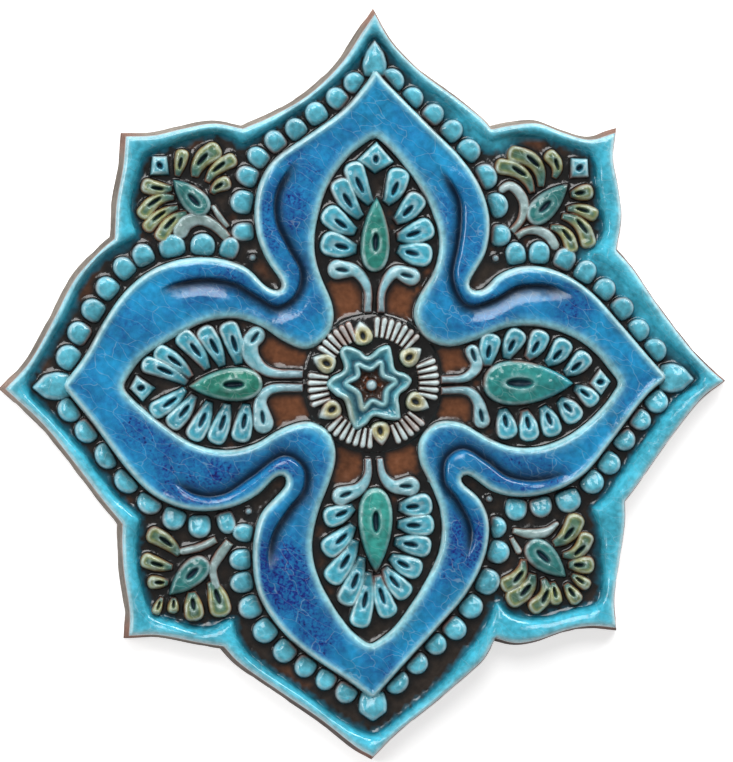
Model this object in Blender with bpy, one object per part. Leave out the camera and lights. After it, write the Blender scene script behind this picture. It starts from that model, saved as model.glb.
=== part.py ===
"""A handmade wall tile: one slab of fired clay, pressed in a mould, with an eight-pointed outline.

It lies on its back with the relief facing up. The plan is given in millimetres from the middle of
the centre rosette, +X to the right and +Y to the top of the tile. Heights are above the back face.
Every form of the relief is a set of nested level lines: a foot on the ground of the relief, a
shoulder drawn in from it, and sometimes a pit. One triangulation joins all the lines.
"""

import math

import bmesh
import bpy
from mathutils import Vector
from mathutils.geometry import delaunay_2d_cdt

METRES_PER_MM = 0.001

# Heights above the back, in mm.
EDGE_HEIGHT = 15.6
RIM_HEIGHT = 18.2
GROUND_HEIGHT = 13.0
BAND_HEIGHT = 18.4
LIP_HEIGHT = 19.6
CREASE_HEIGHT = 16.2
BEAD_HEIGHT = 17.0
PETAL_HEIGHT = 17.0
STEM_HEIGHT = 16.0
DROP_HEIGHT = 18.4
SPEARHEAD_HEIGHT = 17.2
STAR_HEIGHT = 18.0
RAY_HEIGHT = 16.2
SEED_HEIGHT = 17.2
BALL_HEIGHT = 15.0

# Widths in plan, in mm.
BACK_FLARE = 2.2
RIM_CREST_START = 1.2
RIM_CREST_END = 2.6
BAND_WALL = 0.9
LIP_CREST_GAP = 2.2
MOTIF_WALL = 0.8
NARROWEST = 0.3
CONTOUR_STEP = 6.0
BAND_STEP = 5.0

# Front edge of the rim, clockwise from the top point. Each row runs from one corner to the next.
EDGE_RUNS = (
    ((0.4, 147.6), (7.2, 136.0), (18.8, 124.4), (33.2, 114.0), (42.8, 106.4)),
    ((47.2, 101.6), (56.4, 103.4), (66.0, 104.0), (76.0, 100.4), (87.0, 97.6)),
    ((97.2, 100.4), (96.2, 90.0), (98.2, 79.2), (99.6, 67.0)),
    ((97.6, 53.2), (104.4, 45.6), (115.2, 30.0), (127.2, 14.4), (135.2, 6.0)),
    ((141.2, 0.8), (131.6, -6.8), (118.8, -23.2), (106.4, -40.8)),
    ((101.2, -47.6), (101.2, -57.0), (99.4, -70.0), (97.0, -86.8)),
    ((97.8, -98.4), (88.0, -97.6), (78.0, -99.2), (66.0, -103.2), (57.2, -104.4)),
    ((49.2, -102.4), (44.8, -110.2), (39.8, -115.2), (25.8, -127.2), (9.8, -140.0)),
    ((0.0, -149.8), (-7.2, -145.6), (-21.2, -134.6), (-37.0, -123.8), (-53.0, -112.6)),
    ((-60.0, -105.4), (-69.0, -104.0), (-85.6, -100.8)),
    ((-97.8, -101.0), (-97.6, -91.0), (-99.8, -76.0), (-100.6, -64.0)),
    ((-100.4, -56.4), (-109.2, -45.6), (-120.0, -31.4), (-132.0, -16.6)),
    ((-147.2, -2.4), (-137.2, 8.8), (-128.0, 25.2), (-119.6, 41.2), (-110.0, 52.0)),
    ((-103.6, 57.6), (-102.8, 72.0), (-100.2, 86.4)),
    ((-99.2, 98.4), (-88.0, 98.8), (-76.0, 101.6), (-64.0, 103.6)),
    ((-52.4, 101.6), (-39.6, 107.2), (-25.6, 115.6), (-13.2, 127.6), (-4.4, 140.6)),
)

# Inner edge of the rim, clockwise from the top. Rows run from point to cusp and from cusp to corner.
RIM_INNER_RUNS = (
    ((0.4, 139.2), (8.4, 129.2), (20.4, 118.0), (32.4, 108.4), (42.0, 99.4)),
    ((48.0, 95.6), (55.2, 98.4), (66.4, 98.4), (78.4, 94.8)),
    ((88.4, 91.2), (89.2, 81.2), (90.4, 71.2), (92.4, 61.2)),
    ((85.2, 50.8), (94.4, 46.0), (105.6, 33.2), (115.2, 19.2), (126.4, 8.0)),
    ((132.4, 2.0), (120.4, -7.6), (110.4, -20.8), (100.4, -34.8), (92.4, -46.8)),
    ((86.4, -50.0), (90.4, -56.8), (91.2, -68.8), (92.0, -80.8)),
    ((90.4, -89.2), (80.4, -90.8), (68.4, -94.0), (56.4, -92.8)),
    ((49.6, -86.0), (44.4, -98.8), (35.2, -110.8), (24.4, -122.8), (8.4, -135.6)),
    ((0.8, -141.6), (-11.6, -135.6), (-27.6, -123.6), (-45.6, -111.6), (-53.6, -102.8)),
    ((-55.2, -93.2), (-67.6, -98.0), (-77.6, -95.6)),
    ((-89.2, -92.0), (-91.6, -82.8), (-94.0, -70.8), (-93.6, -58.8)),
    ((-91.6, -54.0), (-103.6, -43.6), (-114.4, -28.8), (-124.8, -16.8)),
    ((-139.2, -1.8), (-131.6, 11.2), (-123.2, 25.2), (-116.4, 39.2), (-107.6, 50.0)),
    ((-93.2, 58.4), (-96.8, 68.4), (-94.8, 79.2)),
    ((-91.6, 90.8), (-79.6, 94.8), (-67.6, 98.8), (-58.4, 98.6)),
    ((-52.8, 93.6), (-37.6, 103.2), (-21.6, 114.4), (-7.6, 127.2)),
)

# Outer edge of the four-lobed band, clockwise from its top point. Rows start at a point or a notch.
BAND_OUTER_RUNS = (
    ((0.4, 126.0), (7.2, 118.4), (24.0, 101.6), (34.8, 90.8), (42.8, 79.2), (46.8, 66.0),
     (45.6, 53.2), (40.4, 43.6), (38.2, 39.4)),
    ((39.8, 36.8), (44.4, 37.8), (51.2, 44.0), (62.4, 47.2), (75.6, 44.4), (88.0, 36.4),
     (98.8, 24.8), (109.2, 12.8)),
    ((118.8, 2.0), (109.6, -6.0), (95.2, -24.8), (85.6, -36.4), (74.4, -43.2), (60.8, -46.0),
     (48.8, -44.0), (40.0, -38.0)),
    ((36.4, -36.6), (35.4, -39.6), (43.2, -46.8), (46.8, -56.8), (44.8, -70.8), (37.6, -84.8),
     (26.4, -98.0), (8.8, -117.2)),
    ((0.0, -127.2), (-9.6, -120.0), (-28.4, -107.2), (-39.6, -96.0), (-46.8, -82.8),
     (-48.4, -66.8), (-45.6, -53.2), (-38.4, -44.8), (-34.8, -40.4)),
    ((-36.0, -36.6), (-39.6, -38.2), (-46.8, -45.2), (-58.4, -50.4), (-72.8, -51.2),
     (-86.8, -46.0), (-98.0, -35.6), (-112.4, -16.4)),
    ((-124.8, -1.2), (-116.0, 10.4), (-108.4, 24.0), (-100.0, 36.0), (-89.6, 44.8),
     (-76.8, 49.6), (-63.2, 50.0), (-51.2, 46.4), (-43.2, 38.8)),
    ((-38.2, 36.6), (-36.8, 40.0), (-43.6, 50.4), (-47.6, 62.8), (-46.8, 77.2), (-40.4, 89.2),
     (-27.6, 98.4), (-13.2, 108.8), (-3.2, 120.0)),
)

# Inner edge of the band, clockwise from the top point of the top lobe. Rows start at a lobe's point.
BAND_INNER_RUNS = (
    ((0.8, 98.8), (9.6, 90.0), (17.2, 80.0), (23.2, 69.2), (26.4, 57.2), (24.4, 45.2),
     (18.8, 36.0), (16.0, 27.2), (20.4, 18.0), (30.4, 14.4), (41.6, 17.2), (53.6, 22.0),
     (66.4, 22.4), (78.4, 19.2), (88.4, 12.8)),
    ((99.2, 0.0), (91.6, -10.4), (80.4, -20.0), (68.4, -25.2), (56.4, -25.6), (45.6, -21.6),
     (35.6, -16.0), (25.2, -15.6), (18.4, -22.8), (18.8, -32.4), (23.6, -42.0), (27.2, -53.2),
     (26.8, -66.0), (22.0, -77.6), (15.2, -88.8), (7.6, -98.8)),
    ((-1.2, -105.2), (-9.2, -98.4), (-16.4, -88.4), (-22.4, -76.4), (-24.4, -64.8),
     (-22.0, -52.0), (-17.6, -40.4), (-14.8, -29.2), (-17.6, -19.6), (-26.4, -15.2),
     (-37.2, -18.4), (-47.6, -24.4), (-59.6, -26.8), (-72.4, -24.0), (-84.0, -16.4),
     (-93.6, -8.8)),
    ((-100.4, -1.8), (-95.6, 6.0), (-90.4, 11.4), (-79.6, 18.0), (-67.6, 24.0), (-55.6, 25.6),
     (-44.8, 22.4), (-36.4, 16.8), (-26.4, 13.2), (-17.6, 19.6), (-16.0, 30.0), (-21.6, 44.4),
     (-23.6, 55.6), (-21.6, 68.8), (-16.8, 81.2), (-9.2, 91.2)),
)

# The groove behind each notch of the band, clockwise. The band is a rounded lip outside it.
GROOVES = (
    ((26.4, 87.2), (34.4, 75.2), (35.6, 65.2), (34.4, 54.4), (32.4, 43.2), (35.6, 34.0),
     (40.4, 31.2), (49.2, 34.0), (58.4, 38.8), (70.4, 39.2), (81.2, 34.8)),
    ((79.2, -36.4), (66.4, -39.6), (54.4, -38.0), (45.2, -31.6), (36.4, -26.8), (29.6, -30.8),
     (29.2, -39.6), (34.4, -46.8), (39.2, -55.6), (40.0, -62.8), (37.6, -71.6)),
    ((-41.6, -76.8), (-42.4, -68.8), (-40.0, -59.6), (-34.4, -50.8), (-28.4, -42.8),
     (-28.4, -34.0), (-36.4, -29.6), (-48.8, -38.0), (-59.6, -44.8), (-70.4, -45.2), (-82.4, -38.8)),
    ((-87.6, 35.6), (-79.6, 39.6), (-67.6, 41.6), (-55.6, 40.0), (-46.4, 34.8), (-38.4, 30.8),
     (-31.6, 35.2), (-29.6, 44.4), (-34.8, 54.4), (-39.6, 65.2), (-38.8, 77.2), (-30.8, 90.4)),
)

# Middles of the beads, lobe by lobe, clockwise from the top.
BEADS = (
    (7.6, 121.2), (15.6, 114.0), (24.0, 107.6), (31.6, 101.2), (38.4, 93.2), (45.2, 82.8),
    (49.6, 71.2), (50.8, 59.2), (57.2, 52.0), (66.8, 52.4), (77.2, 50.0), (85.6, 44.8),
    (93.2, 37.6), (100.4, 30.0), (106.8, 21.2), (113.6, 13.2), (114.4, -7.6), (107.6, -14.8),
    (101.2, -22.8), (95.2, -32.4), (88.4, -40.0), (78.8, -47.6), (67.6, -49.6), (57.6, -50.8),
    (49.2, -58.0), (50.4, -68.0), (46.4, -80.0), (39.6, -90.0), (33.2, -98.8), (25.2, -104.8),
    (17.6, -112.4), (9.6, -120.0), (-10.8, -124.0), (-18.8, -118.8), (-27.2, -113.6),
    (-35.6, -107.6), (-43.6, -99.6), (-49.6, -90.0), (-52.8, -80.0), (-53.2, -70.8),
    (-52.0, -60.0), (-58.8, -56.0), (-69.6, -57.6), (-80.0, -54.4), (-89.6, -48.0),
    (-98.8, -39.2), (-106.8, -29.2), (-114.8, -19.2), (-121.6, -10.8), (-122.4, 10.4),
    (-118.0, 20.0), (-112.4, 29.2), (-106.8, 38.0), (-100.0, 46.0), (-92.4, 51.2),
    (-80.8, 54.8), (-68.4, 55.2), (-57.6, 54.0), (-52.4, 60.4), (-52.8, 72.4), (-50.8, 82.8),
    (-46.4, 90.4), (-39.6, 96.8), (-31.2, 101.6), (-23.2, 108.0), (-14.8, 114.0), (-7.6, 120.0),
)
BEAD_HALF_WIDTH = 3.5
BEAD_WIDTH_SHARE = 0.36
BEAD_REACH = 3.9
BEAD_GAP = 1.0
BEAD_RIM_GAP = 1.4

# Spearheads between the band's points and the rim: reach beyond the band's point, in mm.
SPEARHEAD_REACHES = (11.0, 10.6, 8.6, 11.6)

# The four large palmettes. A drop is (point, round end, half width). A petal is (root, tip, half
# width). A curl is a stem from the rosette that ends in a rounded head: points and half widths.
LARGE_DROPS = (
    ((1.2, 74.4), (1.2, 44.0), 6.0),
    ((80.8, 0.0), (44.2, -0.4), 8.6),
    ((1.2, -76.0), (0.8, -41.8), 6.8),
    ((-73.6, -1.2), (-44.6, -0.8), 6.6),
)
LARGE_PETALS = (
    ((-2.0, 75.4), (-9.6, 87.2), 3.0), ((-5.6, 68.0), (-15.2, 78.8), 3.0),
    ((-7.4, 61.0), (-19.6, 68.0), 3.0), ((-8.0, 54.6), (-20.4, 57.6), 3.2),
    ((4.2, 75.2), (12.0, 84.0), 3.2), ((7.6, 66.0), (18.4, 73.0), 3.1),
    ((9.4, 59.0), (22.8, 62.0), 3.0), ((9.6, 53.4), (22.8, 51.4), 3.0),
    ((46.4, 9.4), (46.8, 18.8), 3.2), ((55.6, 11.0), (58.4, 20.8), 3.3),
    ((64.6, 10.2), (68.6, 20.0), 3.1), ((72.2, 7.4), (78.0, 16.2), 3.0),
    ((79.6, 4.2), (86.6, 10.6), 2.8), ((53.2, -11.2), (54.4, -22.4), 3.3),
    ((61.0, -11.6), (63.2, -23.2), 3.2), ((69.0, -10.0), (72.8, -21.0), 3.0),
    ((76.4, -6.4), (82.0, -14.2), 3.1), ((82.4, -2.4), (88.4, -7.0), 2.3),
    ((-8.4, -51.0), (-19.6, -54.8), 2.9), ((-9.0, -58.8), (-19.8, -68.0), 3.0),
    ((-7.6, -66.2), (-18.2, -80.0), 3.0), ((-4.6, -73.0), (-12.2, -89.4), 3.0),
    ((-1.4, -78.6), (-5.2, -98.0), 2.9), ((10.2, -50.4), (23.2, -49.6), 3.0),
    ((10.2, -57.8), (24.2, -57.6), 2.9), ((9.4, -64.6), (23.2, -66.6), 2.9),
    ((7.4, -71.2), (19.4, -75.8), 2.8), ((5.0, -75.6), (14.6, -85.2), 2.7),
    ((2.4, -79.4), (6.6, -93.8), 2.8), ((-75.8, 0.8), (-92.0, 7.4), 2.2),
    ((-73.4, 3.8), (-85.4, 12.6), 2.4), ((-67.2, 7.6), (-77.0, 18.0), 2.9),
    ((-60.8, 8.4), (-68.8, 22.2), 3.0), ((-54.0, 8.8), (-58.4, 24.4), 3.0),
    ((-75.2, -2.6), (-88.6, -11.8), 2.7), ((-70.6, -6.4), (-81.0, -17.8), 2.9),
    ((-64.6, -8.8), (-73.2, -22.0), 3.0), ((-58.0, -9.4), (-63.6, -24.0), 3.0),
    ((-51.2, -9.4), (-53.2, -23.8), 3.1),
)
CURLS = (
    (((-2.6, 29.0), (-3.0, 36.4), (-6.6, 43.2), (-14.0, 46.4)), (1.6, 1.6, 2.0, 3.3)),
    (((2.4, 29.0), (2.8, 36.4), (6.6, 42.4), (13.8, 41.8)), (1.6, 1.6, 2.0, 3.2)),
    (((29.0, 1.6), (36.8, 2.4), (41.2, 6.4), (39.6, 12.6)), (1.6, 1.6, 1.8, 2.3)),
    (((29.0, -3.0), (37.6, -3.2), (42.2, -8.0), (43.8, -15.4)), (1.6, 1.6, 2.0, 3.0)),
    (((2.8, -31.4), (3.8, -37.4), (8.6, -41.8), (15.0, -41.2)), (1.5, 1.6, 2.0, 3.0)),
    (((-2.4, -31.4), (-2.8, -37.4), (-6.6, -42.2), (-13.4, -44.6)), (1.5, 1.6, 2.0, 3.0)),
    (((-29.0, -2.8), (-38.0, -3.4), (-43.0, -8.0), (-43.6, -16.6)), (1.6, 1.6, 1.8, 3.2)),
    (((-29.0, 3.0), (-38.6, 3.6), (-44.2, 8.6), (-48.4, 17.6)), (1.6, 1.6, 2.2, 3.2)),
)
KITES = (
    ((1.2, 96.6), (8.8, 88.6), (0.8, 83.8), (-7.2, 90.0)),
    ((91.6, 6.2), (95.6, 0.4), (91.6, -5.0), (87.2, 0.8)),
    ((-94.4, 3.0), (-87.4, -2.0), (-92.0, -7.0), (-97.4, -2.6)),
    ((-88.8, 90.8), (-82.6, 90.0), (-82.0, 83.0), (-89.2, 82.8)),
    ((80.0, 90.0), (86.6, 89.4), (86.2, 82.6), (79.2, 82.4)),
)

# The four small palmettes in the corner lobes. A bowed petal also has the bow of its middle line
# to the left of the way from root to tip, in mm.
SMALL_DROPS = (
    ((77.4, 79.4), (64.4, 65.4), 4.6),
    ((77.6, -77.4), (62.8, -65.2), 4.8),
    ((-81.0, -83.8), (-68.0, -69.6), 4.4),
    ((-79.6, 80.8), (-66.8, 68.0), 4.6),
)
SMALL_PETALS = (
    ((73.0, 82.4), (72.6, 92.6), 2.4, -0.8), ((67.8, 79.6), (55.8, 93.4), 3.0, -2.8),
    ((63.6, 76.4), (50.2, 88.2), 2.9, -2.4), ((80.0, 76.6), (87.6, 76.8), 2.5, 0.0),
    ((78.6, 71.0), (89.6, 68.8), 2.3, 0.6), ((75.6, 66.6), (87.4, 56.6), 2.8, 1.4),
    ((71.6, 62.4), (81.2, 55.4), 2.3, 0.8), ((80.8, -78.2), (87.2, -81.4), 2.0, 0.0),
    ((78.2, -81.0), (83.2, -87.6), 2.3, 0.0), ((73.0, -80.6), (74.6, -88.8), 2.0, 0.0),
    ((67.8, -79.2), (65.8, -91.2), 2.5, 2.0), ((63.6, -77.4), (55.8, -87.2), 3.0, 1.6),
    ((59.6, -71.6), (54.2, -81.4), 2.5, 1.2), ((79.8, -72.4), (88.4, -73.0), 2.8, 0.0),
    ((76.0, -67.6), (86.6, -61.4), 2.4, -1.4), ((73.2, -63.4), (81.6, -54.6), 2.7, -1.2),
    ((-85.2, -87.6), (-88.0, -91.6), 1.6, 0.0), ((-79.6, -86.4), (-80.6, -91.2), 2.1, 0.0),
    ((-71.8, -83.8), (-71.4, -94.2), 3.2, 0.0), ((-66.2, -79.8), (-60.8, -92.0), 3.9, 0.0),
    ((-83.0, -79.4), (-89.2, -80.0), 2.2, 0.0), ((-80.0, -74.2), (-91.2, -69.8), 2.5, 0.8),
    ((-75.6, -69.8), (-87.6, -60.0), 2.9, 1.8), ((-77.6, 83.2), (-75.2, 92.4), 2.4, 0.0),
    ((-72.4, 82.4), (-61.6, 94.0), 3.0, 2.0), ((-67.8, 79.4), (-56.6, 90.6), 2.6, 1.2),
    ((-64.0, 75.0), (-58.6, 80.8), 1.9, 0.6), ((-81.8, 78.8), (-91.2, 77.2), 2.2, 0.0),
    ((-81.2, 74.8), (-92.6, 65.8), 2.6, -1.6), ((-78.2, 69.6), (-87.6, 59.2), 3.0, -1.2),
)
SMALL_STEMS = (
    (((57.2, 61.4), (59.4, 68.4), (57.8, 74.6), (54.2, 77.4)), (1.3, 1.4, 1.7, 2.0)),
    (((57.8, 57.6), (62.8, 60.4), (68.0, 59.8), (71.8, 56.2)), (1.4, 1.5, 1.6, 1.8)),
    (((56.6, -59.0), (64.4, -60.4), (72.6, -56.8)), (1.1, 1.6, 1.1)),
    (((55.0, -62.8), (57.8, -68.6)), (1.0, 1.2)),
    (((-58.6, -65.0), (-62.0, -70.6), (-62.8, -77.0)), (1.4, 1.4, 1.2)),
    (((-64.4, -63.8), (-69.8, -66.6)), (1.3, 1.4)),
    (((-59.4, 59.8), (-63.4, 63.4), (-69.6, 64.4), (-75.8, 62.0)), (1.4, 1.5, 1.6, 2.3)),
    (((-59.2, 63.4), (-63.4, 68.4)), (1.1, 1.2)),
)
BALLS = ((49.2, 50.0), (46.8, -46.6), (-50.0, -51.4), (-48.4, 50.2))
BALL_RADIUS = 1.6

# Rosette: a six-pointed star with a hollow middle, six seeds between its points, and rays.
STAR_MIDDLE = (-0.8, -0.8)
STAR_ANGLES = (3, 62, 126, 181, 252, 310)
STAR_LEVELS = (  # radius of the points, radius of the hollows between them, height
    (18.0, 12.6, GROUND_HEIGHT), (17.0, 11.8, STAR_HEIGHT), (13.6, 9.2, 16.6),
    (11.4, 7.4, 17.4), (9.4, 5.4, 14.0),
)
STAR_BUTTON_RADIUS = 2.6
SEEDS = ((-4.4, 19.6), (14.2, 10.8), (17.8, -8.4), (2.8, -20.4), (-17.4, -11.0), (-20.0, 8.6))
SEED_HALF_LENGTH = 4.6
SEED_HALF_WIDTH = 3.2
RAY_COUNT = 48
RAY_START = 19.6
RAY_END = 25.6
RAY_HALF_WIDTH = 0.8
RAY_CLEARANCE_DEGREES = 12.5

GLAZE_COLOUR = (0.07, 0.42, 0.56, 1.0)
GLAZE_ROUGHNESS = 0.12


def point(pair):
    return Vector((pair[0], pair[1]))


def between(p0, p1, p2, p3, t):
    """The point at t, from 0 to 1, on the smooth curve from p1 to p2."""
    return 0.5 * (2 * p1 + (p2 - p0) * t + (2 * p0 - 5 * p1 + 4 * p2 - p3) * t * t
                  + (3 * p1 - p0 - 3 * p2 + p3) * t * t * t)


def smooth_run(points, step):
    """A smooth curve through the points, as points about one step apart. The last one is left out."""
    ends = [2 * points[0] - points[1], *points, 2 * points[-1] - points[-2]]
    fine = []
    for i in range(1, len(ends) - 2):
        fine += [between(*ends[i - 1:i + 3], k / 12) for k in range(12)]
    fine.append(points[-1])
    lengths = [0.0]
    for a, b in zip(fine, fine[1:]):
        lengths.append(lengths[-1] + (b - a).length)
    count = max(1, round(lengths[-1] / step))
    return [at_length(fine, lengths, lengths[-1] * k / count) for k in range(count)]


def at_length(line, lengths, wanted):
    for a, b, s, e in zip(line, line[1:], lengths, lengths[1:]):
        if wanted <= e:
            return a.lerp(b, (wanted - s) / max(e - s, 1e-9))
    return line[-1]


def closed_outline(runs, step):
    """One loop of points through all the runs, counterclockwise. Each run ends where the next starts."""
    loop = []
    for run, following in zip(runs, runs[1:] + runs[:1]):
        loop += smooth_run([point(p) for p in run] + [point(following[0])], step)
    return counterclockwise(loop)


def counterclockwise(loop):
    area = sum(a.cross(b) for a, b in zip(loop, loop[1:] + loop[:1]))
    return loop if area > 0 else loop[::-1]


def normals(loop):
    """At each point of a counterclockwise loop, the way out, made longer where the loop turns."""
    found = []
    for before, here, after in zip(loop[-1:] + loop[:-1], loop, loop[1:] + loop[:1]):
        first = (here - before).normalized()
        second = (after - here).normalized()
        way = Vector((first.y + second.y, -first.x - second.x))
        half = Vector((first.y, -first.x))
        way.normalize()
        found.append(way / max(0.35, way.dot(half)))
    return found


def distance_to(p, loop):
    best = 1e9
    for a, b in zip(loop, loop[1:] + loop[:1]):
        along = b - a
        t = min(1.0, max(0.0, (p - a).dot(along) / max(along.length_squared, 1e-12)))
        best = min(best, (p - a - along * t).length_squared)
    return math.sqrt(best)


def drawn_in(loop, distance):
    """The loop moved inwards by a distance, or outwards by a negative one, without its crossed parts."""
    moved = [p - n * distance for p, n in zip(loop, normals(loop))]
    return [p for p in moved if distance_to(p, loop) > abs(distance) * 0.96]


class Relief:
    """Level lines in plan, each point with its height."""

    def __init__(self):
        self.points = []
        self.heights = []
        self.edges = []

    def line(self, points, heights, closed=False):
        first = len(self.points)
        self.points += points
        self.heights += heights
        self.edges += [(first + k, first + k + 1) for k in range(len(points) - 1)]
        if closed:
            self.edges.append((first + len(points) - 1, first))

    def loop(self, points, height):
        self.line(points, [height] * len(points), closed=True)

    def mound(self, foot, top, height, pit=None):
        """A raised form: its foot on the ground, its shoulder, and a pit or nothing in its top."""
        self.loop(foot, GROUND_HEIGHT)
        self.loop(top, height)
        if pit:
            self.line(pit, [height - 1.4] * len(pit))


def stroke(line, widths, inset, stations, round_root=False):
    """The outline of a brush stroke along a line, of the given half widths, with a round far end."""
    points = [point(p) for p in line]
    ends = [2 * points[0] - points[1], *points, 2 * points[-1] - points[-2]]
    left, right = [], []
    for k in range(stations + 1):
        place = k / stations * (len(points) - 1)
        i = min(int(place), len(points) - 2)
        t = place - i
        here = between(*ends[i:i + 4], t)
        ahead = between(*ends[i:i + 4], t + 0.01)
        way = (ahead - here).normalized()
        half = max(NARROWEST, widths[i] + (widths[i + 1] - widths[i]) * t - inset)
        if k == 0:
            here = here + way * inset
        side = Vector((-way.y, way.x)) * half
        left.append(here + side)
        right.append(here - side)
    cap = [here + Vector((way.x * math.cos(a) - way.y * math.sin(a),
                          way.y * math.cos(a) + way.x * math.sin(a))) * half
           for a in (math.radians(45), 0.0, math.radians(-45))]
    return counterclockwise(left + cap + right[::-1])


def petal_line(root, tip, half_width, bow):
    """The middle line of a petal, up to the middle of its round end."""
    a, b = point(root), point(tip)
    way = (b - a).normalized()
    end = b - way * half_width
    middle = (a + end) / 2 + Vector((-way.y, way.x)) * bow
    return [a, middle, end]


def add_petal(relief, root, tip, half_width, bow=0.0):
    line = petal_line(root, tip, half_width, bow)
    widths = (half_width * 0.5, half_width * 0.82, half_width)
    foot = stroke(line, widths, 0.0, 2)
    top = stroke(line, widths, MOTIF_WALL, 2)
    way = (line[2] - line[1]).normalized()
    pit = [line[1].lerp(line[2], 0.3), line[2] + way * half_width * 0.2]
    relief.mound(foot, top, PETAL_HEIGHT, pit)


def add_drop(relief, tip, end, half_width, height):
    """A drop: a pointed tip that swells into a round end, with a slot along its middle."""
    a, b = point(tip), point(end)
    way = (b - a).normalized()
    line = [a, a.lerp(b, 0.35), b - way * half_width]
    widths = (0.9, half_width * 0.66, half_width)
    foot = stroke(line, widths, 0.0, 4)
    top = stroke(line, widths, MOTIF_WALL, 4)
    middle = line[2] - way * half_width * 0.3
    pit = [middle - way * half_width * 0.5, middle + way * half_width * 0.5]
    relief.mound(foot, top, height, pit)


def add_polygon(relief, corners, height):
    loop = counterclockwise([point(c) for c in corners])
    relief.mound(loop, drawn_in(loop, MOTIF_WALL), height)


def add_disc(relief, middle, radius, height, sides=8):
    ring = [Vector((math.cos(a), math.sin(a)))
            for a in (math.tau * k / sides for k in range(sides))]
    foot = [point(middle) + r * radius for r in ring]
    top = [point(middle) + r * (radius - MOTIF_WALL * 0.8) for r in ring]
    relief.mound(foot, top, height)


def add_rim(relief, edge, rim_foot):
    relief.loop(edge, EDGE_HEIGHT)
    relief.loop(drawn_in(edge, RIM_CREST_START), RIM_HEIGHT)
    relief.loop(drawn_in(edge, RIM_CREST_END), RIM_HEIGHT)
    relief.loop(rim_foot, GROUND_HEIGHT)


def add_band(relief):
    outer = closed_outline(BAND_OUTER_RUNS, BAND_STEP)
    inner = closed_outline(BAND_INNER_RUNS, BAND_STEP)
    relief.loop(outer, GROUND_HEIGHT)
    relief.loop(drawn_in(outer, BAND_WALL), BAND_HEIGHT)
    relief.loop(drawn_in(inner, -BAND_WALL), BAND_HEIGHT)
    relief.loop(inner, GROUND_HEIGHT)
    add_lips(relief)


def add_lips(relief):
    """Round each notch the band's outer side is a raised lip, with a crease along its inner side."""
    for row in GROOVES:
        crease = smooth_run([point(p) for p in row], BAND_STEP) + [point(row[-1])]
        for line, height in ((crease, CREASE_HEIGHT), (left_of(crease, LIP_CREST_GAP), LIP_HEIGHT)):
            relief.line(line, [BAND_HEIGHT + (height - BAND_HEIGHT) * worked_share(k / (len(line) - 1))
                               for k in range(len(line))])


def left_of(line, gap):
    """The open line moved to its left by a gap, without its crossed parts."""
    moved = []
    for before, here, after in zip(line[:1] + line[:-1], line, line[1:] + line[-1:]):
        way = (after - before).normalized()
        moved.append(here + Vector((-way.y, way.x)) * gap)
    return [p for p in moved if distance_to(p, line) > gap * 0.8]


def worked_share(place):
    """How far a lip is worked out: nothing at its two ends, fully along its middle half."""
    return min(1.0, 4 * place, 4 * (1 - place))


def add_beads(relief, rim_foot):
    """Beads that stand with a flat root by the band's outer edge and a round end by the rim."""
    outer = closed_outline(BAND_OUTER_RUNS, 1.0)
    middles = [point(b) for b in BEADS]
    for middle in middles:
        band = min(outer, key=lambda p: (p - middle).length)
        out = (middle - band).normalized()
        nearest = min((p - middle).length for p in middles if p is not middle)
        half = min(BEAD_HALF_WIDTH, nearest * BEAD_WIDTH_SHARE)
        room = distance_to(middle, rim_foot) - BEAD_RIM_GAP
        root = band + out * BEAD_GAP
        end = middle + out * (min(room, BEAD_REACH) - half)
        widths = (half, half)
        relief.mound(stroke([root, end], widths, 0.0, 1),
                     stroke([root, end], widths, MOTIF_WALL * 1.3, 1), BEAD_HEIGHT)


def add_spearheads(relief):
    for k, reach in enumerate(SPEARHEAD_REACHES):
        tip = point(BAND_OUTER_RUNS[2 * k][0])
        out = (point(EDGE_RUNS[4 * k][0]) - tip).normalized()
        side = Vector((-out.y, out.x))
        plan = ((reach, 0.0), (reach * 0.5, 3.8), (0.6, 4.7), (-2.0, 4.7), (1.4, 0.0),
                (-2.0, -4.7), (0.6, -4.7), (reach * 0.5, -3.8))
        add_polygon(relief, [tip + out * u + side * v for u, v in plan], SPEARHEAD_HEIGHT)


def add_rosette(relief):
    middle = point(STAR_MIDDLE)
    for reach, hollow, height in STAR_LEVELS:
        relief.loop([middle + d for d in star(reach, hollow)], height)
    add_button(relief, middle)
    seed_angles = [math.degrees(math.atan2(y, x)) for x, y in SEEDS]
    for x, y in SEEDS:
        out = point((x, y)).normalized()
        end = point((x, y)) + out * (SEED_HALF_LENGTH - SEED_HALF_WIDTH)
        line = [point((x, y)) - out * SEED_HALF_LENGTH, end]
        widths = (SEED_HALF_WIDTH * 0.6, SEED_HALF_WIDTH)
        relief.mound(stroke(line, widths, 0.0, 1), stroke(line, widths, MOTIF_WALL, 1), SEED_HEIGHT,
                     [end - out * SEED_HALF_WIDTH, end])
    for k in range(RAY_COUNT):
        degrees = 360 * k / RAY_COUNT
        away = min(abs((degrees - s + 180) % 360 - 180) for s in seed_angles)
        if away < RAY_CLEARANCE_DEGREES:
            continue
        out = Vector((math.cos(math.radians(degrees)), math.sin(math.radians(degrees))))
        side = Vector((-out.y, out.x)) * RAY_HALF_WIDTH
        relief.loop([out * RAY_START - side, out * RAY_END - side * 1.3,
                     out * RAY_END + side * 1.3, out * RAY_START + side], GROUND_HEIGHT)
        relief.line([out * (RAY_START + 0.8), out * (RAY_END - 0.8)], [RAY_HEIGHT] * 2)


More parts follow.
